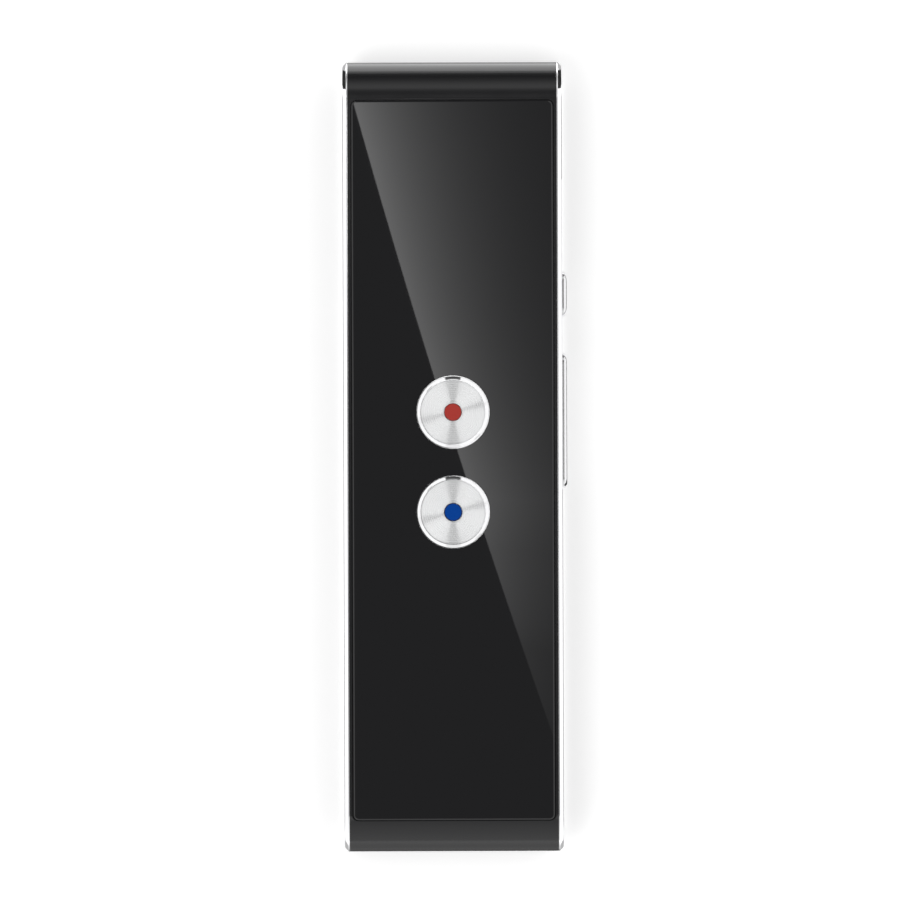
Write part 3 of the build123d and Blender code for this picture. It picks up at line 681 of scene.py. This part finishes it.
def make_plates():
    plate_edge = slot(0, mid_z, 2 * (arc_y + case_radius - plate_edge_inset), 2 * (case_radius - plate_edge_inset))
    face_x = plate_high.x
    step_x = face_x - plate_face_depth
    edge_rings = rounded([(plate_plug_inset, plate_low.x, 0), (plate_plug_inset, step_x, 0), (0, step_x, 0),
                          (0, face_x, plate_bevel), (plate_plug_inset, face_x, 0)], closed=False)[:-1]
    hole_rings = rounded([(0, plate_low.x, 0), (0, face_x, plate_bevel), (1, face_x, 0)], closed=False)[:-1]
    right_holes = grille_openings() + [key_slot(power_low, power_high, key_gap),
                                       key_slot(rocker_low.y, rocker_high.y, key_gap)]
    left_holes = grille_openings() + [socket_shape(socket_gap)]
    for name, side, holes in (("right_side_plate", 1, right_holes), ("left_side_plate", -1, left_holes)):
        plate = sheet(name + "_face", plate_edge, holes, edge_rings, hole_rings, side_place(side))
        dressed(plate, "plate_black", "case", [name])
        plate.data.materials.append(looks["polished_black"])
        for face in plate.data.polygons:
            if polished_tilt < abs(face.normal.x) < 1 - polished_tilt:
                face.material_index = 1


def mesh_sheet(name, side):
    """Fine mesh of square cells with a round hole in each, left open for the microphone's port."""
    columns = int((mesh_high.y - mesh_low.y) / mesh_pitch)
    rows = int((mesh_high.z - mesh_low.z) / mesh_pitch)
    points = []
    faces = []
    for column in range(columns):
        for row in range(rows):
            y = grille_y + (column - (columns - 1) / 2) * mesh_pitch
            z = mid_z + (row - (rows - 1) / 2) * mesh_pitch
            if sqrt((y - grille_y) ** 2 + (z - port_z) ** 2) < port_radius - mesh_pitch / 2:
                continue
            start = len(points)
            for corner in range(8):
                angle = corner * pi / 4
                reach = mesh_pitch / 2 / max(abs(cos(angle)), abs(sin(angle)))
                for radius in (reach, mesh_hole):
                    points.append((side * mesh_high.x, y + radius * cos(angle), z + radius * sin(angle)))
            for corner in range(8):
                here = start + 2 * corner
                after = start + 2 * ((corner + 1) % 8)
                faces.append((here, after, after + 1, here + 1))
    mesh = new_object(name, points, faces)
    tidy_mesh(mesh)
    thick = mesh.modifiers.new("thickness", "SOLIDIFY")
    thick.thickness = mesh_thickness * MM
    thick.offset = 0
    return mesh


def microphone_port(name, side, edge):
    """A short black tube with a floor, which ends in front of the mesh."""
    rings = [(0, mesh_low.x - mesh_thickness), (0, mesh_high.x + mesh_thickness)]
    bore = disc(grille_y, port_z, port_bore, port_steps)
    tube = sheet("port_tube", edge, [bore], rings, rings, side_place(side))
    floor_rings = [(0, mesh_high.x - port_floor), (0, mesh_high.x)]
    floor = sheet("port_floor", edge, [], floor_rings, [], side_place(side))
    return joined(name, [tube, floor])


def make_grilles():
    """Mesh and dust cloth behind the slots, and the black port of the microphone behind it."""
    for name, side in (("right", 1), ("left", -1)):
        node = name + "_grille_mesh"
        dressed(mesh_sheet(name + "_mesh_sheet", side), "mesh_dark", "case", [node])
        port_edge = disc(grille_y, port_z, port_radius, port_steps)
        cloth_edge = rounded_rectangle((mesh_low.y, mesh_low.z), (mesh_high.y, mesh_high.z), port_bore)
        cloth_rings = [(0, mesh_low.x), (0, mesh_low.x + cloth_thickness)]
        cloth = sheet(name + "_dust_cloth", cloth_edge, [port_edge], cloth_rings, cloth_rings, side_place(side))
        dressed(cloth, "cloth_grey", "case", [node])
        port = microphone_port(name + "_port_tube", side, port_edge)
        dressed(port, "port_black", "case", [name + "_microphone_boot"])


# -------- front panel and buttons
def make_panel():
    holes = [disc(0, centre, cap_radius + button_gap, round_steps) for centre in button_y.values()]
    top_z = panel_high.z
    edge_rings = rounded([(0, panel_low.z, 0), (0, top_z - panel_bevel_height, panel_edge_soft),
                          (panel_bevel, top_z, panel_crest_soft), (2 * panel_bevel, top_z, 0)], closed=False)[:-1]
    hole_rings = rounded([(0, panel_low.z, 0), (0, top_z, panel_hole_bevel), (1, top_z, 0)], closed=False)[:-1]
    panel = sheet("front_panel_glass", panel_outline(), holes, edge_rings, hole_rings, level)
    dressed(panel, "panel_gloss", "case", ["front_panel"])


def cap_profile(colour):
    """Half of a button cap's section: stem, flange, wall, bevel, and the seat of the disc."""
    cap_low, cap_high = corners(colour + "_button_cap")
    disc_low, disc_high = corners(colour + "_button_disc")
    flange_radius = (cap_high.y - cap_low.y) / 2
    flange_top = panel_high.z - front_wall - edge_soft
    flange_low = flange_top - cap_flange_thickness
    seat_radius = (disc_high.y - disc_low.y) / 2 + disc_grow + disc_gap
    land_radius = cap_radius - cap_bevel_radial
    shoulder_z = cap_high.z - cap_bevel_height
    stem_low = corners(colour + "_switch_plunger")[1].z + cap_stem_gap
    profile = [(0, stem_low), (cap_stem_radius, stem_low), (cap_stem_radius, flange_low),
               (flange_radius, flange_low), (flange_radius, flange_top), (cap_radius, flange_top)]
    shoulder_turn = radians(90 - cap_bevel_slope)
    shoulder = arc_points((cap_radius - cap_shoulder, shoulder_z - cap_shoulder), cap_shoulder, 0, shoulder_turn, 6)
    profile += [(cap_radius, shoulder_z - 3 * cap_shoulder)] + shoulder
    profile += bowed((land_radius, cap_high.z), shoulder[-1], cap_bulge)[::-1]
    profile += [(seat_radius + seat_edge_width, cap_high.z), (seat_radius, cap_high.z - seat_edge_height),
                (seat_radius, disc_low.z), (0, disc_low.z)]
    return profile


def disc_profile(colour):
    """Half of a spun disc's section, with fine concentric grooves in its face."""
    low, high = corners(colour + "_button_disc")
    dot_low, dot_high = corners(colour + "_button_dot")
    outer = (high.y - low.y) / 2 + disc_grow
    inner = (dot_high.y - dot_low.y) / 2 + dot_gap
    profile = [(inner, low.z), (outer, low.z), (outer, high.z - disc_edge), (outer - disc_edge, high.z)]
    start = outer - groove_margin_outside
    flanks = 2 * int((start - groove_margin_inside - inner) / groove_pitch)
    for flank in range(flanks + 1):
        sink = groove_slope * groove_pitch / 2 if flank % 2 else 0
        profile.append((start - flank * groove_pitch / 2, high.z - sink))
    return profile + [(inner + dot_gap, high.z), (inner, high.z - dot_gap)]


def make_buttons():
    for colour, centre in button_y.items():
        body = colour + "_button"
        cap = lathe(colour + "_cap_ring", cap_profile(colour), centre)
        dressed(cap, "button_chrome", body, [body + "_cap"])
        face = lathe(colour + "_spun_disc", disc_profile(colour), centre)
        dressed(face, "spun_metal", body, [body + "_disc"], sharp_angle=20)
        dot_low, dot_high = corners(body + "_dot")
        radius = (dot_high.y - dot_low.y) / 2
        top = dot_high.z
        face_radius = radius - dot_step_width
        profile = rounded([(0, dot_low.z, 0), (radius, dot_low.z, 0), (radius, top - dot_step_depth, 0),
                           (face_radius, top - dot_step_depth, 0), (face_radius, top, dot_soft), (0, top, 0)],
                          closed=False)
        dot = lathe(colour + "_dot_inlay", profile, centre)
        dressed(dot, "dot_" + colour, body, [body + "_dot"])
        # The lowered step round each dot takes the darker copy of its colour: painted shade in the groove.
        dot.data.materials.append(looks["dot_" + colour + "_painted_shade"])
        for face in dot.data.polygons:
            if face.center.z < (top - dot_step_depth / 2) * MM:
                face.material_index = 1


# -------- side keys
def key_rings(inner_x, face_x):
    """Rings of a side key: straight sides and a rounded bevel up to the flat face."""
    return [(0, inner_x)] + bowed((0, face_x - key_bevel), (key_bevel, face_x), key_bulge)


def paint_key(key, face_x, low_y, high_y, face_look):
    """Satin metal on a key's flat face, darker than the bevel as painted shade for the darker reflection there, and
    grey paint in the marks cut into it.
    """
    key.data.materials.append(looks[face_look])
    key.data.materials.append(looks["mark_grey"])
    straight = (high_y - low_y - key_width) / 2
    for face in key.data.polygons:
        centre = face.center / MM
        beyond = max(0, abs(centre.y - (low_y + high_y) / 2) - straight)
        inside = sqrt(beyond ** 2 + (centre.z - mid_z) ** 2) < key_width / 2 - key_bevel
        if face.normal.x > flat_normal and centre.x > face_x - mark_depth / 2:
            face.material_index = 1
        elif inside and face_x - 2 * mark_depth < centre.x:
            face.material_index = 2


def engrave(piece, face_x, centre_y, half_y, half_z):
    """Cuts a small rectangular mark with rounded ends into a key's face."""
    corner = min(half_y, half_z) * mark_round
    ends = rounded_rectangle((centre_y - half_y, mid_z - half_z), (centre_y + half_y, mid_z + half_z), corner)
    rings = [(0, face_x - mark_depth), (0, face_x + mark_depth)]
    carve(piece, sheet("mark", ends, [], rings, [], side_place(1)))


def icon_arc(start, face_x, centre_y):
    """A cutter for one arc of the ring mark: a bent bar of round section."""
    rings = []
    for step in range(icon_steps + 1):
        angle = radians(start + icon_turn * step / icon_steps)
        ring = []
        for corner in range(icon_sides):
            turned = 2 * pi * corner / icon_sides
            radius = icon_radius + icon_line * cos(turned)
            ring.append((face_x + icon_line * sin(turned), centre_y + radius * cos(angle),
                         mid_z + radius * sin(angle)))
        rings.append(ring)
    return skinned("icon_arc", rings, False)


def make_keys():
    face_x = key_high.x
    flange_x = plate_low.x - power_flange_gap
    inner_x = flange_x - power_flange_depth
    rings = [(-power_flange, inner_x), (-power_flange, flange_x)] + key_rings(flange_x, face_x)
    power = sheet("power_key_metal", key_slot(power_low, power_high, 0), [], rings, [], side_place(1))
    for start in icon_starts:
        carve(power, icon_arc(start, face_x, (power_low + power_high) / 2))
    dressed(power, "key_metal", "power_key", ["power_button"])
    paint_key(power, face_x, power_low, power_high, "power_face_painted_shade")

    rings = key_rings(rocker_low.x, face_x)
    rocker = sheet("volume_key_metal", key_slot(rocker_low.y, rocker_high.y, 0), [], rings, [], side_place(1))
    plus_y = rocker_high.y - mark_inset
    minus_y = rocker_low.y + mark_inset
    engrave(rocker, face_x, plus_y, mark_length / 2, mark_width / 2)
    engrave(rocker, face_x, plus_y, mark_width / 2, mark_length / 2)
    engrave(rocker, face_x, minus_y, mark_width / 2, mark_length / 2)
    dressed(rocker, "key_metal", "volume_key", ["volume_rocker"])
    paint_key(rocker, face_x, rocker_low.y, rocker_high.y, "rocker_face_painted_shade")


# -------- charging socket
def make_socket():
    mouth_x = -socket_low.x
    back_x = -socket_high.x
    lip = socket_wall * socket_lip
    edge_rings = rounded([(0, back_x, 0), (0, mouth_x, lip), (1, mouth_x, 0)], closed=False)[:-1]
    shell = sheet("usb_shell_sleeve", socket_shape(0), [socket_shape(-socket_wall)], edge_rings, edge_rings,
                  side_place(-1))
    dressed(shell, "socket_steel", "case", ["usb_shell"])

    block_x = tongue_block - tongue_high.x
    tip_x = -tongue_low.x
    block = sheet("tongue_block", socket_shape(-socket_wall - edge_soft / 2), [],
                  [(0, -tongue_high.x), (0, block_x)], [], side_place(-1))
    section = rounded_rectangle((socket_y - tongue_width / 2, contacts_high.z),
                                (socket_y + tongue_width / 2, contacts_high.z + tongue_thickness), tongue_soft)
    tongue_rings = rounded([(0, block_x, 0), (0, tip_x, tongue_soft * 0.9), (1, tip_x, 0)], closed=False)[:-1]
    bar = sheet("tongue_bar", section, [], tongue_rings, [], side_place(-1))
    plastic = joined("usb_tongue_plastic", [block, bar])
    dressed(plastic, "tongue_black", "case", ["usb_tongue"])

    strips = []
    soft = (contacts_high.z - contacts_low.z) / 3
    strip_rings = [(0, contacts_high.z), (0, contacts_low.z + soft), (soft, contacts_low.z)]
    for index in range(contact_count):
        y = socket_y + (index - (contact_count - 1) / 2) * contact_pitch
        strip = rounded_rectangle((contacts_low.x, y - contact_width / 2), (contacts_high.x, y + contact_width / 2),
                                  contact_width / 3)
        strips.append(sheet("strip", strip, [], strip_rings, [], level))
    dressed(joined("usb_contact_strips", strips), "contact_gold", "case", ["usb_contacts"])


# -------- stage
camera_place = (-0.55, 1.2, 2706.5)
camera_roll = -0.2            # degrees
camera_lens = 600             # millimetres, on a sensor of 36
table_reach = 10000
table_white = 0.8
table_lift = 0.5              # light of its own that the table shows to the camera and in reflections
table_far_lift = 0.8          # the same, far away, where the lamps no longer reach
table_near, table_far = 200, 1500
fill_light = 0.48
around = 1.06                 # brightness all round, in reflections
dark_overhead = 0.07

# The overhead card gives the panel its slanting highlight.
card_height = 600.0
card_scale = 1 + (card_height - shell_high.z) / (camera_place[2] - shell_high.z)
card_half_width, card_half_length = 45, 110
edge_start = 0.4              # the card's slanting edge, in panel millimetres
edge_slope = 0.275
edge_bend = 0.00032
gloss_fade = 10.2
gloss_peak = 2.95
gloss_along = [(-60, 0.0), (-44, 0.09), (-35, 0.14), (-26, 0.3), (-17, 0.45), (-8, 0.74), (25, 0.82), (55, 1.0)]

# Cards on the table and beside the case: strengths, and corners as (x, y) of the right-hand one.
end_light_strength = 2.7
corner_strength = 0.03
side_strength = 0.05
turn_strength = 0.5
flag_strength = 0.12
end_card_z, side_card_z, turn_card_z, corner_card_z = 0.5, 0.6, 0.7, 0.9
end_light_card = [(-70, 77), (70, 77), (110, 150), (-110, 150)]
near_reach = 60
near_half_width = (19, 22)    # at the case, and at the card's far end
near_stops = [(0, 0.1), (4, 0.22), (9, 0.48), (30, 0.88), (near_reach, around)]
side_gap = 5                  # from the rim to the side cards
side_width = 26
side_low_y, side_high_y = -70, 66
keys_clear = 11               # open table beside the keys, for their faces to reflect
keys_low_y, keys_high_y = -6, 50
turn_x, turn_width = 19, 4
turn_inner, turn_near, turn_far = -2, 0.3, 5        # from the case's end, outwards
corner_card = [(24, 67.3), (212, 121), (800, 290), (800, 480), (212, 160), (120, 130), (60, 97), (36, 83), (24, 73)]
stop_gap = 1.5                # from the case's end to the upright corner cards
stop_low_x, stop_high_x = 22.5, 26
stop_low_z, stop_high_z = 6.6, 9.5

# Upright cards further away. The far ones: direction in degrees, and brightness by height.
far_distance = 1500
far_half_width = 220
far_level = 0.6               # share of the width that isn't blended into the surroundings
far_cards = {"back_left_card": (135, [(600, around), (640, around), (720, 0.35), (770, 0.3), (820, around)]),
             "front_right_card": (-45, [(330, around), (350, 0.9), (385, 0.6), (415, 0.4), (450, 0.35),
                                        (490, around)])}
# The flags: both ends as (x, y), lowest and highest Z.
flags = {"left_flag": ((-300, -110), (-300, 110), 22, 40), "far_flag": ((-45, 300), (45, 300), 21, 37)}

# Brightness of the surroundings in reflections, by the angle from straight up in degrees.
world_top = 1.1
side_sky = [(0, dark_overhead), (4, dark_overhead), (9, 1.0), (90, around)]
far_sky = [(0, 0.06), (20, 0.08), (25, 0.18), (30, 0.4), (35, 0.8), (42, 0.8), (50, 0.6), (60, 0.3), (66, 0.15),
           (73, 0.05), (81, 0.07), (86, 0.58), (90, 1.07)]
near_sky = [(0, 0.06), (8, 0.08), (18, 0.46), (40, 0.72), (70, 0.88), (90, 0.88)]
slit_sky = [(0, 0.06), (12, 0.08), (20, 0.25), (55, 0.35), (62, 0.9), (90, around)]
# Sectors that differ from the sides: direction, half width and soft edge in degrees, and brightness.
sectors = [(90, 13, 3, far_sky), (-90, 12, 5, near_sky), (15, 2.5, 3, slit_sky), (-165, 7, 4, slit_sky)]

key_lamp = ((-500, -350, 1100), 4.5)                # place and power
fill_lamp = ((600, 300, 900), 2)
lamp_size = 700


def add_stage(name, points, faces, material, glossy_only=True):
    thing = new_object(name, points, faces)
    thing.data.materials.append(material)
    if glossy_only:
        thing.visible_camera = False
        thing.visible_diffuse = False
        thing.visible_shadow = False
        thing.visible_transmission = False
    return thing


def rectangle(half_x, half_y):
    return [(-half_x, -half_y), (half_x, -half_y), (half_x, half_y), (-half_x, half_y)]


def flat_card(name, corner_list, z, material, glossy_only=True):
    """A level card with the given corners."""
    points = [(x, y, z) for x, y in corner_list]
    return add_stage(name, points, [tuple(range(len(points)))], material, glossy_only)


def glow(graph, strength):
    """Ends a material's graph in a light of the given strength."""
    light = graph.add("ShaderNodeEmission")
    graph.feed(light.inputs["Strength"], strength)
    graph.end(light)


def place_parts(graph):
    """The shaded point's own coordinates, in millimetres."""
    return [graph.math("DIVIDE", part, MM) for part in graph.parts("Object")]


def plain_card(name, strength):
    material, graph = new_material(name)
    glow(graph, strength)
    return material


def table_material():
    """White table: it shows the shadow, and is lifted to white for the camera and in reflections."""
    material, graph = new_material("white_table")
    x, y, z = place_parts(graph)
    away = graph.math("SQRT", graph.math("ADD", graph.math("MULTIPLY", x, x), graph.math("MULTIPLY", y, y)))
    lift = graph.step(away, table_near, table_far, table_lift, table_far_lift)
    cloth = graph.add("ShaderNodeBsdfDiffuse")
    cloth.inputs["Color"].default_value = (table_white, table_white, table_white, 1)
    light = graph.add("ShaderNodeEmission")
    path = graph.add("ShaderNodeLightPath")
    seen = graph.math("MAXIMUM", path.outputs["Is Camera Ray"], path.outputs["Is Glossy Ray"])
    seen = graph.math("MAXIMUM", seen, path.outputs["Is Transmission Ray"])
    graph.feed(light.inputs["Strength"], graph.math("MULTIPLY", seen, lift))
    both = graph.add("ShaderNodeAddShader")
    graph.feed(both.inputs[0], cloth.outputs[0])
    graph.feed(both.inputs[1], light.outputs[0])
    graph.end(both)
    return material


def overhead_material():
    """The overhead card's light: brightest along a slanting edge, fading to the right and downwards."""
    material, graph = new_material("overhead_card")
    x, y, z = place_parts(graph)
    across = graph.math("DIVIDE", x, card_scale)
    along = graph.math("DIVIDE", y, card_scale)
    down = graph.math("SUBTRACT", panel_high.y, along)
    slope = graph.math("MULTIPLY", down, edge_slope)
    bend = graph.math("MULTIPLY", graph.math("MULTIPLY", down, down), edge_bend)
    edge = graph.math("ADD", graph.math("ADD", slope, bend), panel_low.x + edge_start)
    distance = graph.math("SUBTRACT", across, edge)
    fade = graph.math("EXPONENT", graph.math("DIVIDE", graph.math("MAXIMUM", distance, 0.0), -gloss_fade))
    lower = graph.curve(along, gloss_along, 1)
    lit = graph.math("GREATER_THAN", distance, 0.0)
    lit = graph.math("MULTIPLY", lit, graph.math("LESS_THAN", graph.math("ABSOLUTE", across), panel_high.x))
    lit = graph.math("MULTIPLY", lit, graph.math("LESS_THAN", along, panel_high.y))
    strength = graph.math("MULTIPLY", graph.math("MULTIPLY", fade, lower), lit)
    glow(graph, graph.math("MULTIPLY_ADD", strength, gloss_peak, dark_overhead))
    return material


def near_shade_material():
    """A card on the table at the near end: dark beside the case, and bright further out."""
    material, graph = new_material("near_shade")
    x, y, z = place_parts(graph)
    away = graph.math("SUBTRACT", shell_low.y, y)
    glow(graph, graph.curve(away, near_stops, around))
    return material


def upright_card(name, first, second, low, high, material):
    """An upright card over the line from the first point to the second."""
    points = [(*first, low), (*second, low), (*second, high), (*first, high)]
    return add_stage(name, points, [(0, 1, 2, 3)], material)


def graded_card(name, azimuth, stops):
    """A far upright card, level in the middle and blended into its surroundings at its edges."""
    material, graph = new_material(name)
    x, y, z = place_parts(graph)
    inwards = graph.step(graph.math("ABSOLUTE", x), far_half_width * far_level, far_half_width, 1, 0)
    light = graph.curve(z, stops, around)
    glow(graph, graph.math("MULTIPLY_ADD", graph.math("SUBTRACT", light, around), inwards, around))
    card = upright_card(name, (-far_half_width, 0), (far_half_width, 0), stops[0][0], stops[-1][0], material)
    angle = radians(azimuth)
    card.location = Vector((far_distance * cos(angle), far_distance * sin(angle), 0)) * MM
    card.rotation_euler = (0, 0, angle + pi / 2)


def make_side_cards(name, side, grey, pale, dark):
    """Cards beside the case, which draw the chrome rim's lines and its dark far corner."""
    low_x = rim_high.x + side_gap
    high_x = low_x + side_width
    clear_x = low_x + (keys_clear if side > 0 else 0)
    side_card = [(low_x, side_low_y), (high_x, side_low_y), (high_x, side_high_y), (low_x, side_high_y),
                 (low_x, keys_high_y), (clear_x, keys_high_y), (clear_x, keys_low_y), (low_x, keys_low_y)]
    flat_card(name + "_side_card", [(side * x, y) for x, y in side_card], side_card_z, grey)
    tip = shell_high.y
    stop_y = tip + stop_gap
    upright_card(name + "_corner_stop", (side * stop_low_x, stop_y), (side * stop_high_x, stop_y), stop_low_z,
                 stop_high_z, dark)
    turn = [(turn_x, tip + turn_near), (low_x, tip + turn_inner), (low_x + turn_width, tip + turn_inner),
            (low_x + turn_width, tip + turn_far), (turn_x, tip + turn_far)]
    for end_name, end in (("far", 1), ("near", -1)):
        flat_card(name + "_" + end_name + "_turn", [(side * x, end * y) for x, y in turn], turn_card_z, pale)
    flat_card(name + "_corner_card", [(side * x, y) for x, y in corner_card], corner_card_z, dark)


def make_stage():
    """The table, and the cards that show in reflections alone."""
    flat_card("table", rectangle(table_reach, table_reach), 0, table_material(), False)
    flat_card("overhead_card", rectangle(card_half_width, card_half_length), card_height, overhead_material())
    flat_card("end_light", end_light_card, end_card_z, plain_card("end_light", end_light_strength))
    near_y = shell_low.y
    case_x, far_x = near_half_width
    flat_card("near_shade", [(-case_x, near_y), (-far_x, near_y - near_reach), (far_x, near_y - near_reach),
                             (case_x, near_y)], end_card_z, near_shade_material())
    dark = plain_card("dark_card", corner_strength)
    grey = plain_card("side_card", side_strength)
    pale = plain_card("turn_card", turn_strength)
    for name, side in (("right", 1), ("left", -1)):
        make_side_cards(name, side, grey, pale, dark)
    for name, (azimuth, stops) in far_cards.items():
        graded_card(name, azimuth, stops)
    flag = plain_card("flag", flag_strength)
    for name, (first, second, low, high) in flags.items():
        upright_card(name, first, second, low, high, flag)


def make_world():
    """White all round for the camera. In reflections: bright sides, a dark overhead, and softer ends."""
    world = bpy.data.worlds.new("studio")
    scene.world = world
    world.use_nodes = True
    graph = Graph(world.node_tree)
    x, y, z = graph.parts("Generated")
    zenith = graph.math("MULTIPLY", graph.math("ARCCOSINE", z), degrees(1))
    azimuth = graph.math("MULTIPLY", graph.math("ARCTAN2", y, x), degrees(1))
    light = graph.curve(zenith, side_sky, world_top)
    for direction, half_width, soft, sky in sectors:
        turned = graph.math("ABSOLUTE", graph.math("SUBTRACT", azimuth, direction))
        share = graph.step(turned, half_width - soft / 2, half_width + soft / 2, 1, 0)
        change = graph.math("SUBTRACT", graph.curve(zenith, sky, world_top), light)
        light = graph.math("MULTIPLY_ADD", change, share, light)
    path = graph.add("ShaderNodeLightPath")
    shiny = graph.math("MAXIMUM", path.outputs["Is Glossy Ray"], path.outputs["Is Transmission Ray"])
    plain = graph.math("MULTIPLY_ADD", path.outputs["Is Camera Ray"], 1 - fill_light, fill_light)
    strength = graph.math("MULTIPLY_ADD", graph.math("SUBTRACT", light, plain), shiny, plain)
    background = graph.add("ShaderNodeBackground")
    background.inputs["Color"].default_value = (1, 1, 1, 1)
    graph.feed(background.inputs["Strength"], strength)
    graph.end(background, "ShaderNodeOutputWorld")


def add_lamp(name, place, power):
    """A soft square lamp that looks at the device and isn't seen as a shape in its gloss."""
    data = bpy.data.lights.new(name, "AREA")
    data.size = lamp_size * MM
    data.energy = power
    lamp = placed(name, data)
    lamp.location = Vector(place) * MM
    lamp.rotation_euler = (-lamp.location).to_track_quat("-Z", "Y").to_euler()
    lamp.visible_camera = False
    lamp.visible_glossy = False


def make_camera():
    """Straight above the front face, with a long lens."""
    data = bpy.data.cameras.new("camera")
    data.lens = camera_lens
    data.sensor_width = 36
    data.clip_end = 20
    camera = placed("camera", data)
    camera.location = Vector(camera_place) * MM
    camera.rotation_euler = (0, 0, radians(camera_roll))
    scene.camera = camera


# -------- everything
dress_inside()
make_shells()
make_rims()
make_plates()
make_grilles()
make_panel()
make_buttons()
make_keys()
make_socket()
make_stage()
make_world()
add_lamp("key_lamp", *key_lamp)
add_lamp("fill_lamp", *fill_lamp)
make_camera()
scene.view_settings.view_transform = "Standard"
